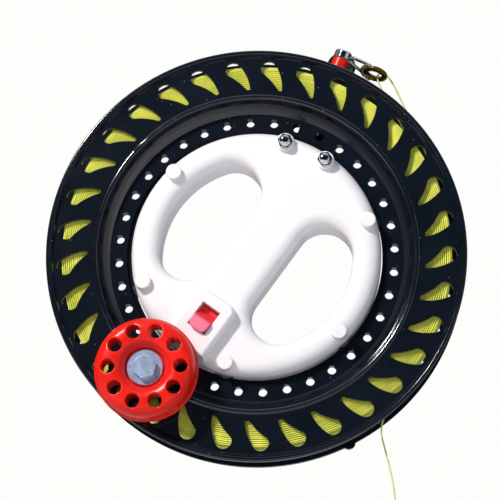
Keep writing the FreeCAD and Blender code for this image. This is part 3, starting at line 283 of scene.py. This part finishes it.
def add_node(material, kind, values=None, **settings):
    """A node with its settings and the values of its unlinked inputs."""
    node = material.node_tree.nodes.new(kind)
    for key, value in settings.items():
        setattr(node, key, value)
    for key, value in (values or {}).items():
        node.inputs[key].default_value = value
    return node


def link(material, output, target):
    """Joins a node's output to the input of another."""
    material.node_tree.links.new(output, target)


def part_place(material, stretch=(1, 1, 1)):
    """The part's own coordinates, scaled unevenly where the texture has a direction."""
    place = add_node(material, "ShaderNodeTexCoord")
    scaled = add_node(material, "ShaderNodeMapping", {"Scale": stretch})
    link(material, place.outputs["Object"], scaled.inputs["Vector"])
    return scaled.outputs["Vector"]


def noise(material, per_metre, detail=2.0, stretch=(1, 1, 1)):
    """Even noise from 0 to 1, with about that many grains in a metre."""
    grains = add_node(
        material, "ShaderNodeTexNoise", {"Scale": per_metre, "Detail": detail})
    link(material, part_place(material, stretch), grains.inputs["Vector"])
    return grains.outputs["Fac"]


def between(material, value, low, high, out_low=0.0, out_high=1.0):
    """Maps low..high of a value to out_low..out_high, clamped."""
    mapped = add_node(
        material, "ShaderNodeMapRange",
        {"From Min": low, "From Max": high, "To Min": out_low, "To Max": out_high})
    link(material, value, mapped.inputs["Value"])
    return mapped.outputs["Result"]


def blend_colours(material, share, first, second):
    """A colour between first and second. Each is a colour or an output."""
    mix = add_node(material, "ShaderNodeMix", data_type="RGBA")
    link(material, share, mix.inputs["Factor"])
    for source, target in ((first, mix.inputs["A"]), (second, mix.inputs["B"])):
        if isinstance(source, bpy.types.NodeSocket):
            link(material, source, target)
        else:
            target.default_value = (*source, 1)
    return mix.outputs["Result"]


def combine(material, first, second, operation="MULTIPLY"):
    """Two outputs, or an output and a number, multiplied or worked as the operation says."""
    node = add_node(material, "ShaderNodeMath", operation=operation)
    link(material, first, node.inputs[0])
    if isinstance(second, bpy.types.NodeSocket):
        link(material, second, node.inputs[1])
    else:
        node.inputs[1].default_value = second
    return node.outputs["Value"]


def mottle(material, shader, colour, other, grains, low=0.3, high=0.7):
    """Blends a colour unevenly with another one, in patches that follow a noise."""
    patches = between(material, grains, low, high)
    tone = blend_colours(material, patches, colour, other)
    link(material, tone, shader.inputs["Base Color"])


def rub_surface(material, shader, grains, glossiest, dullest):
    """Lets the roughness vary with a noise."""
    rough = between(
        material, grains, low=0.3, high=0.7, out_low=glossiest, out_high=dullest)
    link(material, rough, shader.inputs["Roughness"])


def raise_surface(material, shader, height, depth, strength):
    """Bumps the surface by a height output."""
    bump = add_node(
        material, "ShaderNodeBump", {"Strength": strength, "Distance": depth})
    link(material, height, bump.inputs["Height"])
    link(material, bump.outputs["Normal"], shader.inputs["Normal"])


def specks(material, per_metre, share):
    """Round specks in that share of the cells: 1 in a speck and 0 elsewhere."""
    cells = add_node(
        material, "ShaderNodeTexVoronoi", {"Scale": per_metre, "Randomness": 1.0})
    link(material, part_place(material), cells.inputs["Vector"])
    near = between(material, cells.outputs["Distance"], low=0.16, high=0.08)
    chosen = add_node(material, "ShaderNodeSeparateColor")
    link(material, cells.outputs["Color"], chosen.inputs["Color"])
    rare = between(material, chosen.outputs["Red"], low=share, high=share * 0.8)
    return combine(material, near, rare)


def make_black_plastic(colour):
    """Glossy black moulding with dust, fine scratches and a slight orange peel."""
    material, shader = new_finish("reel_black", colour, roughness=0.1)
    haze_colour = tuple(1.5 * part for part in colour)
    dust_colour, dust_cover = (0.4, 0.4, 0.42), 0.35
    dust = specks(material, per_metre=420, share=0.10)
    haze = between(material, noise(material, 45, detail=5), low=0.35, high=0.75)
    hazy = blend_colours(material, haze, colour, haze_colour)
    dusty = blend_colours(material, combine(material, dust, dust_cover), hazy, dust_colour)
    link(material, dusty, shader.inputs["Base Color"])
    streaks = noise(material, 160, detail=3, stretch=(1, 1, 26))
    scratches = between(material, streaks, low=0.66, high=0.70)
    scratch_roughness = 0.08
    wear = between(
        material, noise(material, 70, detail=4), low=0.3, high=0.8, out_low=0.09,
        out_high=0.17)
    rough = combine(material, wear, combine(material, scratches, scratch_roughness), "ADD")
    link(material, rough, shader.inputs["Roughness"])
    shader.inputs["Specular IOR Level"].default_value = 0.65
    peel = noise(material, 260, detail=2)
    raise_surface(material, shader, peel, depth=0.02 * MM, strength=0.1)
    return material


def make_white_plastic(colour):
    """Clean white moulding with a fine grain and faint handling marks."""
    material, shader = new_finish("handle_white", colour, roughness=0.38)
    handled = tuple(0.965 * part for part in colour)
    mottle(material, shader, colour, handled, noise(material, 30, detail=3))
    rub_surface(material, shader, noise(material, 120, detail=4), 0.33, 0.44)
    shader.inputs["Subsurface Weight"].default_value = 0.08
    shader.inputs["Subsurface Radius"].default_value = (0.004, 0.003, 0.003)
    shader.inputs["Subsurface Scale"].default_value = 0.5
    grain = noise(material, 1900, detail=2)
    raise_surface(material, shader, grain, depth=0.03 * MM, strength=0.25)
    return material


def make_red_plastic(colour):
    """Saturated red moulding, glossier where hands have worn it."""
    material, shader = new_finish("knob_red", colour, roughness=0.3)
    deep = (0.80 * colour[0], 0.6 * colour[1], 0.6 * colour[2])
    mottle(material, shader, colour, deep, noise(material, 60, detail=3))
    rub_surface(material, shader, noise(material, 150, detail=4), 0.24, 0.36)
    shader.inputs["Specular IOR Level"].default_value = 0.3
    grain = noise(material, 900, detail=2)
    raise_surface(material, shader, grain, depth=0.04 * MM, strength=0.3)
    return material


def make_brake_plastic(hollow, tab, low, high):
    """Red moulding painted as a lit and a shaded copy: its proud tab is painted paler pink, a
    painted highlight where the key light falls, and its hollow deeper red, as in shade.
    low and high are the places along Y between which the painted highlight sets in."""
    material, shader = new_finish("slider_red", hollow, roughness=0.4)
    place = add_node(material, "ShaderNodeSeparateXYZ")
    link(material, part_place(material), place.inputs["Vector"])
    # Painted light: the share of painted pink highlight, rising from the shaded hollow up to
    # the proud tab.
    painted_lit = between(material, place.outputs["Y"], low, high)
    link(material, blend_colours(material, painted_lit, hollow, tab), shader.inputs["Base Color"])
    shader.inputs["Subsurface Weight"].default_value = 0.4
    shader.inputs["Subsurface Radius"].default_value = (1.0, 0.1, 0.14)
    shader.inputs["Subsurface Scale"].default_value = 0.004
    grain = noise(material, 1500, detail=2)
    raise_surface(material, shader, grain, depth=0.03 * MM, strength=0.25)
    return material


def make_metal(name, colour, roughness, grain, stretch=(1, 1, 1), bare=1.0):
    """Metal with grain in its roughness and surface; a dull plating makes it less bare."""
    material, shader = new_finish(name, colour, roughness, metallic=bare)
    rub = noise(material, grain, detail=4, stretch=stretch)
    rub_surface(material, shader, rub, 0.75 * roughness, 1.35 * roughness)
    dull = tuple(0.8 * part for part in colour)
    mottle(material, shader, colour, dull, noise(material, grain / 6, detail=3), low=0.35)
    raise_surface(material, shader, rub, depth=0.01 * MM, strength=0.1)
    return material


def make_line_fibre(name, colour):
    """Polyester line with a dull sheen and uneven dye."""
    material, shader = new_finish(name, colour, roughness=0.55)
    deep = (0.72 * colour[0], 0.78 * colour[1], 0.6 * colour[2])
    mottle(material, shader, colour, deep, noise(material, 140, detail=4))
    shader.inputs["Sheen Weight"].default_value = 0.25
    shader.inputs["Sheen Roughness"].default_value = 0.4
    fibres = noise(material, 2600, detail=2)
    raise_surface(material, shader, fibres, depth=0.12 * MM, strength=0.5)
    return material


def dress(material, *names):
    """Gives CAD nodes their finish."""
    for name in names:
        mesh = NODES[name].data
        mesh.materials.clear()
        mesh.materials.append(material)


def turned_mesh(name, profile, centre, axis, around=96):
    """A closed profile of radius and place along the axis, turned about the axis."""
    side = axis.orthogonal().normalized()
    mesh = bmesh.new()
    rings = []
    for radius, along in profile:
        rings.append([
            mesh.verts.new(
                centre + axis * along + Quaternion(axis, TAU * turn / around) @ side * radius)
            for turn in range(around)])
    join_rings(mesh, rings + rings[:1])
    return finished_mesh(name, mesh)


def join_rings(mesh, rings):
    """Faces between each ring of points and the next."""
    for ring, following in zip(rings, rings[1:]):
        for turn in range(len(ring)):
            ahead = (turn + 1) % len(ring)
            mesh.faces.new((ring[turn], ring[ahead], following[ahead], following[turn]))


def finished_mesh(name, mesh, sharp=38, weld=0.001 * MM):
    """Welds a mesh, turns its faces outwards and shades it smooth up to an angle."""
    bmesh.ops.remove_doubles(mesh, verts=mesh.verts, dist=weld)
    bmesh.ops.recalc_face_normals(mesh, faces=mesh.faces)
    data = bpy.data.meshes.new(name)
    mesh.to_mesh(data)
    mesh.free()
    data.shade_smooth()
    data.set_sharp_from_angle(angle=math.radians(sharp))
    return data


def tube_along(name, places, radius, steps, sides):
    """A closed tube along the curve that the places pull. steps and sides say how finely
    its length and its round are drawn."""
    curve = bpy.data.curves.new(name, "CURVE")
    curve.dimensions = "3D"
    curve.resolution_u = steps
    curve.bevel_depth = radius
    curve.bevel_resolution = sides
    curve.use_fill_caps = True
    spline = curve.splines.new("NURBS")
    spline.points.add(len(places) - 1)
    for point, place in zip(spline.points, places):
        point.co = (*place, 1)
    spline.order_u = 3
    spline.use_endpoint_u = True
    return curve


def add_piece(context, name, data, finish, body, slot, *nodes):
    """Shows a mesh or curve on a body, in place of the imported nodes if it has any."""
    data.materials.append(finish)
    piece = bpy.data.objects.new(name, data)
    context.scene.collection.objects.link(piece)
    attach(piece, body)
    if nodes:
        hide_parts(*nodes)
    return piece


def arc(first, last, radius, steps=9):
    """Points from first to last along an arc that bulges to the left of the way."""
    chord = last - first
    reach = math.sqrt(radius ** 2 - (chord.length / 2) ** 2)
    centre = (first + last) / 2 + Vector((chord.y, -chord.x)).normalized() * reach
    angles = [math.atan2(end.y - centre.y, end.x - centre.x) for end in (first, last)]
    turn = (angles[1] - angles[0]) / steps
    return [
        centre + radius * Vector((math.cos(angles[0] + turn * step),
                                  math.sin(angles[0] + turn * step)))
        for step in range(steps + 1)]


class WINDER_OT_stage(bpy.types.Operator):
    """Sets the camera, lights, sky and floor"""

    bl_idname = "winder.stage"
    bl_label = "Set the stage"

    def execute(self, context):
        settings = context.scene.winder.stage
        self.add_camera(context, settings)
        self.add_lights(context, settings)
        self.add_sky(context, settings)
        self.add_floor(context, settings)
        return {"FINISHED"}

    def add_camera(self, context, settings):
        """Looks up at the reel from in front, a little from the right."""
        turn, lift = settings.azimuth, settings.elevation
        back = Vector((
            math.sin(turn) * math.cos(lift), -math.cos(turn) * math.cos(lift), math.sin(lift)))
        right = Vector((math.cos(turn), math.sin(turn), 0))
        up = right.cross(-back)
        face = Vector((0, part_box("front_flange")[0].y, 0))
        target = face + right * settings.aim[0] + up * settings.aim[1]
        data = bpy.data.cameras.new("camera")
        data.lens = settings.lens
        data.clip_start = 0.01
        camera = bpy.data.objects.new("camera", data)
        camera.location = face + back * settings.distance
        camera.rotation_euler = (target - camera.location).to_track_quat("-Z", "Y").to_euler()
        context.scene.collection.objects.link(camera)
        context.scene.camera = camera
        context.scene.view_settings.view_transform = "Standard"

    def add_lights(self, context, settings):
        """One softbox from the upper left in front, and a weak one from the right."""
        key, fill = settings.key_power, 0.10 * settings.key_power
        boxes = (
            ("key", (-0.62, -1.0, 0.72), 0.14, key, (1.0, 0.97, 0.93)),
            ("fill", (1.3, -0.9, 0.1), 1.0, fill, (0.80, 0.86, 1.0)),
        )
        for name, place, size, power, colour in boxes:
            data = bpy.data.lights.new(name, "AREA")
            data.size = size
            data.energy = power
            data.color = colour
            light = bpy.data.objects.new(name, data)
            light.location = place
            light.rotation_euler = (-Vector(place)).to_track_quat("-Z", "Y").to_euler()
            context.scene.collection.objects.link(light)

    def add_sky(self, context, settings):
        """A pale backdrop to the eye, an even light on dull faces, and the room's bright
        and dark parts in glossy ones."""
        world = bpy.data.worlds.new("sky")
        world.use_nodes = True
        context.scene.world = world
        nodes, links = world.node_tree.nodes, world.node_tree.links
        backdrop = nodes["Background"]
        backdrop.inputs["Color"].default_value = (*BACKDROP, 1)
        light = nodes.new("ShaderNodeBackground")
        light.inputs["Color"].default_value = (*SKY, 1)
        light.inputs["Strength"].default_value = settings.sky_strength
        room = nodes.new("ShaderNodeBackground")
        links.new(self.add_room_colours(nodes, links), room.inputs["Color"])
        ray = nodes.new("ShaderNodeLightPath")
        for kind, seen in (("Is Glossy Ray", room), ("Is Camera Ray", backdrop)):
            mix = nodes.new("ShaderNodeMixShader")
            links.new(ray.outputs[kind], mix.inputs[0])
            links.new(light.outputs[0], mix.inputs[1])
            links.new(seen.outputs[0], mix.inputs[2])
            light = mix
        links.new(light.outputs[0], nodes["World Output"].inputs["Surface"])

    def add_room_colours(self, nodes, links):
        """The room's colour by how high a direction points."""
        way = nodes.new("ShaderNodeTexCoord")
        parts = nodes.new("ShaderNodeSeparateXYZ")
        links.new(way.outputs["Generated"], parts.inputs["Vector"])
        height = nodes.new("ShaderNodeMapRange")
        height.inputs["From Min"].default_value = -1
        links.new(parts.outputs["Z"], height.inputs["Value"])
        ramp = nodes.new("ShaderNodeValToRGB")
        links.new(height.outputs["Result"], ramp.inputs["Fac"])
        stops = ramp.color_ramp.elements
        while len(stops) < len(ROOM):
            stops.new(0.5)
        for stop, (high, colour) in zip(stops, ROOM):
            stop.position = (high + 1) / 2
            stop.color = (*colour, 1)
        return ramp.outputs["Color"]

    def add_floor(self, context, settings):
        """A plain pale floor well below the hanging line."""
        half = 3.0
        height = CAD_BOX[0].z - settings.floor_drop
        corners = [
            (half * x, half * y, height) for x, y in ((-1, -1), (1, -1), (1, 1), (-1, 1))]
        mesh = bpy.data.meshes.new("floor")
        mesh.from_pydata(corners, [], [(0, 1, 2, 3)])
        floor = bpy.data.objects.new("floor", mesh)
        material, shader = new_finish("floor_paint", FLOOR, roughness=0.7)
        mottle(material, shader, FLOOR, FLOOR_PATCH, noise(material, 8, detail=4))
        mesh.materials.append(material)
        context.scene.collection.objects.link(floor)


class WINDER_OT_free_line(bpy.types.Operator):
    """Lays the free line from the winding through the eye and down"""

    bl_idname = "winder.free_line"
    bl_label = "Lay the free line"

    def execute(self, context):
        places = [Vector(place) * MM for place in LINE_ROUTE]
        curve = tube_along("free_line_strand", places, LINE_DIAMETER / 2, steps=24, sides=3)
        fibre = make_line_fibre("free_fibre", context.scene.winder.line.free_colour)
        line = add_piece(
            context, "free_line_strand", curve, fibre, "handle", "yellow_line", "free_line")
        return {"FINISHED"}


class WINDER_OT_wound_line(bpy.types.Operator):
    """Winds the line on the drum, strand by strand where it shows"""

    bl_idname = "winder.wound_line"
    bl_label = "Wind the line"

    def execute(self, context):
        settings = context.scene.winder.line
        curve = bpy.data.curves.new("wound_line", "CURVE")
        curve.dimensions = "3D"
        curve.bevel_depth = settings.strand / 2
        curve.bevel_resolution = 1
        chance = random.Random(7)
        self.wind_sides(curve, settings, chance)
        self.wind_top(curve, settings, chance)
        fibre = make_line_fibre("wound_fibre", settings.colour)
        add_piece(
            context, "wound_line", curve, fibre, "reel", "yellow_line", "wound_line_layer",
            "wound_line_core")
        return {"FINISHED"}

    def add_strand(self, curve, settings, chance, turns, radius_at, side_at):
        """One strand round the drum. radius_at and side_at say where it lies at a share
        of its way. Slow waves of its own make it stray, half as far outwards as sideways."""
        waves = [(chance.uniform(1.3, 7.7), chance.uniform(0, TAU)) for _ in range(3)]
        start = chance.uniform(0, TAU)
        count = round(turns * settings.points)
        spline = curve.splines.new("POLY")
        spline.points.add(count - 1)
        for index, point in enumerate(spline.points):
            share = index / (count - 1)
            angle = start + share * turns * TAU
            stray = sum(math.sin(n * angle + phase) for n, phase in waves) / 3
            radius = radius_at(share) + 0.5 * settings.wobble * stray
            side = side_at(share) + settings.wobble * stray
            point.co = (radius * math.cos(angle), side, radius * math.sin(angle), 1)

    def wind_sides(self, curve, settings, chance):
        """Both ends of the winding, which show through the windows: spirals of strands
        from the drum out, each row in the furrows of the one in front of it."""
        rows, row_step = 3, 0.8 * settings.strand
        turns = round((settings.outer_radius - settings.inner_radius) / settings.pitch)
        for side in (-1, 1):
            for row in range(rows):
                y = side * (settings.half_width - row * row_step)
                low = settings.inner_radius + (row % 2) * settings.pitch / 2
                self.add_strand(
                    curve, settings, chance, turns,
                    lambda share, low=low: low + settings.pitch * turns * share,
                    lambda share, y=y: y)

    def wind_top(self, curve, settings, chance):
        """The outer layer in one run of turns over the one below it, fuller in the middle,
        with a few strands crossing over."""
        half, pitch = settings.half_width, settings.pitch
        turns = round(2 * half / pitch)
        crown = 0.35 * MM
        for depth in (0.6 * pitch, 0):
            self.add_strand(
                curve, settings, chance, turns,
                lambda share, depth=depth: (
                    settings.outer_radius - depth + crown * math.sin(math.pi * share)),
                lambda share: half * (2 * share - 1))
        crossings, crossing_turns, ramp = 5, 1.4, 1 / 12
        rise = 1.6 * crown
        for _ in range(crossings):
            first = chance.uniform(-half, half)
            last = chance.uniform(-half, half)
            self.add_strand(
                curve, settings, chance, crossing_turns,
                lambda share: settings.outer_radius + rise * min(
                    1, share / ramp, (1 - share) / ramp),
                lambda share, first=first, last=last: first + (last - first) * share)


class WINDER_OT_reel(bpy.types.Operator):
    """Finishes the reel's hub and flanges"""

    bl_idname = "winder.reel"
    bl_label = "Finish the reel"

    def execute(self, context):
        black = make_black_plastic(context.scene.winder.plastic.black)
        dress(black, "reel_hub", "front_flange", "rear_flange")
        self.add_lip(context, "front_flange", -1, black)
        self.add_lip(context, "rear_flange", 1, black)
        return {"FINISHED"}

    def add_lip(self, context, flange, side, finish):
        """The rounded bead on the outer half of a flange's lip. side is -1 on the front
        flange and 1 on the rear one."""
        width, depth = 2.3 * MM, 1.6 * MM
        rise, overhang = 0.3 * MM, 0.03 * MM
        inner_round, outer_round, steps = 0.6 * MM, 0.95 * MM, 8
        low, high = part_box(flange)
        face = (low.y if side < 0 else high.y) + side * rise
        edge = high.z + overhang
        inner, deep = edge - width, face - side * depth
        profile = [(inner, deep)]
        for middle, corner, first in (
                (inner + inner_round, inner_round, math.pi),
                (edge - outer_round, outer_round, math.pi / 2)):
            for step in range(steps + 1):
                turn = first - math.pi / 2 * step / steps
                profile.append((
                    middle + corner * math.cos(turn),
                    face - side * corner * (1 - math.sin(turn))))
        profile.append((edge, deep))
        data = turned_mesh(
            "lip", profile, Vector((0, 0, 0)), Vector((0, 1, 0)), around=288)
        add_piece(context, flange + "_lip", data, finish, "reel", "black_plastic")


class WINDER_OT_handle(bpy.types.Operator):
    """Finishes the handle's shells"""

    bl_idname = "winder.handle"
    bl_label = "Finish the handle"

    def execute(self, context):
        white = make_white_plastic(context.scene.winder.plastic.white)
        dress(white, "handle_front_shell", "handle_rear_shell")
        return {"FINISHED"}


class WINDER_OT_brake(bpy.types.Operator):
    """Finishes the brake's slider, tongue and rivet"""

    bl_idname = "winder.brake"
    bl_label = "Finish the brake"

    def execute(self, context):
        settings = context.scene.winder
        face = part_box("brake_slider")[0].y
        # Between these depths the painted highlight fades from the tab's pink to the hollow's
        # shaded red.
        tab_depth, hollow_depth = 0.5 * MM, 2.6 * MM
        red = make_brake_plastic(
            settings.plastic.brake, settings.plastic.brake_lit_tab, face + hollow_depth,
            face + tab_depth)
        dress(red, "brake_slider")
        spring_steel = make_metal("spring_steel", settings.metal.steel, 0.25, 900)
        dress(spring_steel, "brake_tongue", "brake_rivet", "detent_spring")
        return {"FINISHED"}


class WINDER_OT_knob(bpy.types.Operator):
    """Finishes the winding knob and what holds it"""

    bl_idname = "winder.knob"
    bl_label = "Finish the knob"

    def execute(self, context):
        settings = context.scene.winder
        red = make_red_plastic(settings.plastic.red)
        self.add_knob(context, settings.knob, red)
        zinc = make_metal("zinc_plate", settings.metal.zinc, 0.28, 250, bare=0.6)
        dress(zinc, "knob_bolt", "knob_washer")
        brass = make_metal("turned_brass", settings.metal.brass, 0.3, 800)
        dress(brass, "knob_bush", "knob_insert")
        return {"FINISHED"}

    def add_knob(self, context, settings, finish):
        """A domed knob with a dished face, a narrow skirt and round holes through it."""
        skirt, skirt_height, skirt_slope = 0.8 * MM, 2 * MM, 0.4 * MM
        back_bevel, recess_bevel = 0.6 * MM, 5 * MM
        face = self.face_profile(settings)
        angles = [TAU * index / settings.hole_count for index in range(settings.hole_count)]
        holes = [
            settings.hole_circle * Vector((math.cos(angle), math.sin(angle)))
            for angle in angles]
        back = [Vector((settings.bore, 0)), Vector((settings.radius - back_bevel, 0))]
        mesh = bmesh.new()
        self.add_pierced_disc(
            mesh, settings, face, holes, settings.hole_radius + settings.hole_rim)
        self.add_pierced_disc(mesh, settings, back, holes, settings.hole_radius)
        for centre in holes:
            self.add_hole(mesh, settings, face, centre)
        side = [
            face[-1], (settings.radius - skirt, skirt_height + skirt_slope),
            (settings.radius, skirt_height), (settings.radius, back_bevel), back[-1]]
        recess = [
            face[0], (settings.recess, settings.height - recess_bevel),
            (settings.recess, settings.floor), (settings.bore, settings.floor), back[0]]
        for profile in (side, recess):
            join_rings(mesh, [
                self.add_ring(mesh, settings, radius, height) for radius, height in profile])
        low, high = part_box("winding_knob")
        middle = (low + high) / 2
        for point in mesh.verts:
            across, up, height = point.co
            point.co = (middle.x + across, high.y - height, middle.z + up)
        data = finished_mesh("knob", mesh)
        add_piece(context, "knob", data, finish, "knob", "red_plastic", "winding_knob")

    def face_profile(self, settings):
        """Radius and height from the dish's edge over the crown to the side."""
        dish_width, dish_depth, dish_round = 4 * MM, 1.1 * MM, 7.83 * MM
        shoulder_width, shoulder_drop, shoulder_round = 7 * MM, 0.16 * MM, 6.5 * MM
        crown_round, side_lean = 24.6 * MM, 1.3 * MM
        dish = Vector((settings.dish, settings.height - dish_depth))
        crown = Vector((settings.dish + dish_width, settings.height))
        shoulder = Vector((
            settings.radius - shoulder_width, settings.height - shoulder_drop))
        side = Vector((settings.radius - side_lean, settings.side_top))
        return (
            arc(dish, crown, dish_round) + arc(crown, shoulder, crown_round)[1:]
            + arc(shoulder, side, shoulder_round, steps=16)[1:])

    def height_at(self, profile, radius):
        """The profile's height at a radius."""
        for first, last in zip(profile, profile[1:]):
            if radius <= last.x:
                break
        share = min(1, max(0, (radius - first.x) / (last.x - first.x)))
        return first.y + share * (last.y - first.y)

    def add_ring(self, mesh, settings, radius, height):
        """A ring of points about the knob's axis."""
        return [
            mesh.verts.new((
                radius * math.cos(TAU * turn / settings.around),
                radius * math.sin(TAU * turn / settings.around), height))
            for turn in range(settings.around)]

    def add_pierced_disc(self, mesh, settings, profile, holes, opening):
        """A face turned from a profile, left open at the holes."""
        around, clearance, tolerance = settings.around, 0.3 * MM, 1e-8
        ends = (profile[0].x, profile[-1].x)
        circles = [(Vector((0, 0)), radius, around) for radius in ends]
        circles += [(centre, opening, around // 4) for centre in holes]
        points, edges = [], []
        for centre, radius, count in circles:
            first = len(points)
            for turn in range(count):
                angle = TAU * turn / count
                points.append(centre + radius * Vector((math.cos(angle), math.sin(angle))))
                edges.append((first + turn, first + (turn + 1) % count))
        for step in profile[1:-1]:
            for turn in range(around):
                angle = TAU * turn / around
                place = step.x * Vector((math.cos(angle), math.sin(angle)))
                if min((place - centre).length for centre in holes) > opening + clearance:
                    points.append(place)
        flat, _, faces, *_ = delaunay_2d_cdt(points, edges, [], 0, tolerance)
        corners = [
            mesh.verts.new((place.x, place.y, self.height_at(profile, place.length)))
            for place in flat]
        for face in faces:
            middle = sum((flat[corner] for corner in face), Vector((0, 0))) / len(face)
            inside = ends[0] < middle.length < ends[1]
            if inside and min((middle - centre).length for centre in holes) > opening:
                mesh.faces.new([corners[corner] for corner in face])

    def add_hole(self, mesh, settings, face, centre):
        """A hole's rounded front edge and its wall down to the knob's back."""
        count, rim_steps = settings.around // 4, 4
        rim = settings.hole_rim
        turns = [math.pi / 2 * step / rim_steps for step in range(rim_steps + 1)]
        steps = [(rim * (1 - math.sin(turn)), rim * (1 - math.cos(turn))) for turn in turns]
        rings = [[] for _ in range(len(steps) + 1)]
        for turn in range(count):
            way = Vector((math.cos(TAU * turn / count), math.sin(TAU * turn / count)))
            edge = centre + way * (settings.hole_radius + rim)
            top = self.height_at(face, edge.length)
            for ring, (past, drop) in zip(rings, steps):
                place = centre + way * (settings.hole_radius + past)
                ring.append(mesh.verts.new((place.x, place.y, top - drop)))
            place = centre + way * settings.hole_radius
            rings[-1].append(mesh.verts.new((place.x, place.y, 0)))
        join_rings(mesh, rings)


class WINDER_OT_guide(bpy.types.Operator):
    """Finishes the line guide"""

    bl_idname = "winder.guide"
    bl_label = "Finish the line guide"

    def execute(self, context):
        settings = context.scene.winder
        plate = make_metal("plate_steel", settings.metal.steel, 0.16, 300, (1, 1, 8))
        dress(plate, "guide_bracket")
        chrome = make_metal("bright_chrome", settings.metal.chrome, 0.08, 400)
        dress(
            chrome, "guide_dome_nuts", "guide_bolts", "guide_stud", "guide_ferrule",
            "guide_pin", "line_clip")
        sleeve = bpy.data.materials.get("knob_red") or make_red_plastic(settings.plastic.red)
        dress(sleeve, "guide_sleeve")
        eye = make_metal("dark_bronze", settings.metal.bronze, 0.2, 500)
        self.add_eye(context, eye)
        self.add_frame(context, chrome)
        return {"FINISHED"}

    def add_eye(self, context, finish):
        """The eye: a round rim with a flared lining through it."""
        lining, mouth, throat = 4.95 * MM, 4.8 * MM, 3.95 * MM
        shoulder, half_length, steps = 1.1 * MM, 1.7 * MM, 8
        profile = []
        for step in range(steps + 1):
            turn = math.pi * step / steps
            profile.append((
                EYE_RADIUS + EYE_ROUND * math.sin(turn), EYE_ROUND * math.cos(turn)))
        profile += [(lining, -shoulder), (lining, -half_length)]
        for step in range(steps + 1):
            share = 2 * step / steps - 1
            profile.append((throat + (mouth - throat) * share ** 2, half_length * share))
        profile += [(lining, half_length), (lining, shoulder)]
        data = turned_mesh("eye", profile, Vector(EYE_PLACE), Vector(EYE_AXIS).normalized())
        add_piece(context, "eye", data, finish, "handle", "dark_eye", "guide_eye")

    def add_frame(self, context, finish):
        """The bent wire from the ferrule round the eye's near side and back."""
        ferrule_side, leg_spread, bend = 3.9 * MM, 1.2 * MM, 26
        low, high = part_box("guide_ferrule")
        centre = (low + high) / 2
        outward = Vector((centre.x, 0, centre.z)).normalized()
        hold = centre + Vector((outward.z, 0, -outward.x)) * ferrule_side
        spread = outward * leg_spread
        axis = Vector(EYE_AXIS).normalized()
        left = (Vector((-1, 0, 0)) + axis * axis.x).normalized()
        beside = axis.cross(left)
        eye, reach = Vector(EYE_PLACE), EYE_RADIUS + EYE_ROUND + FRAME_WIRE
        places = [hold + spread]
        for step in range(3, -4, -1):
            turn = math.radians(step * bend)
            places.append(eye + (left * math.cos(turn) + beside * math.sin(turn)) * reach)
        places.append(hold - spread)
        curve = tube_along("guide_frame", places, FRAME_WIRE, steps=12, sides=4)
        add_piece(
            context, "guide_frame", curve, finish, "handle", "bright_chrome",
            "guide_wire_frame")


class WINDER_OT_bearings(bpy.types.Operator):
    """Finishes the rollers, their rings and pins, and the shell screws"""

    bl_idname = "winder.bearings"
    bl_label = "Finish the bearings"

    def execute(self, context):
        steel = make_metal("bearing_steel", context.scene.winder.metal.steel, 0.2, 600)
        rollers = [name for name in NODES if name.startswith("roller_")]
        dress(steel, *rollers, "bearing_inner_rings", "shell_screws")
        return {"FINISHED"}


class WINDER_PT_panel(bpy.types.Panel):
    """Lists the winder's pieces in the 3D view's sidebar"""

    bl_idname = "WINDER_PT_panel"
    bl_label = "Kite line winder"
    bl_space_type = "VIEW_3D"
    bl_region_type = "UI"
    bl_category = "Winder"

    def draw(self, context):
        for operator in OPERATORS:
            self.layout.operator(operator.bl_idname)
        settings = context.scene.winder
        for group in (settings.stage, settings.line, settings.plastic, settings.metal,
                      settings.knob):
            box = self.layout.box()
            for name in group.bl_rna.properties.keys():
                if name not in ("rna_type", "name"):
                    box.prop(group, name)


SETTINGS = (
    StageSettings, LineSettings, PlasticSettings, MetalSettings, KnobSettings, WinderSettings)
OPERATORS = (
    WINDER_OT_stage, WINDER_OT_free_line, WINDER_OT_wound_line, WINDER_OT_reel,
    WINDER_OT_handle, WINDER_OT_brake, WINDER_OT_knob, WINDER_OT_guide,
    WINDER_OT_bearings,
)
CLASSES = (*SETTINGS, *OPERATORS, WINDER_PT_panel)


def register():
    """Registers the settings, operators and panel."""
    for entry in CLASSES:
        bpy.utils.register_class(entry)
    bpy.types.Scene.winder = PointerProperty(type=WinderSettings)


def unregister():
    """Takes them out again."""
    del bpy.types.Scene.winder
    for entry in reversed(CLASSES):
        bpy.utils.unregister_class(entry)


def main():
    """Builds the winder piece by piece."""
    register()
    for operator in OPERATORS:
        group, name = operator.bl_idname.split(".")
        getattr(getattr(bpy.ops, group), name)()


if __name__ == "__main__":
    main()
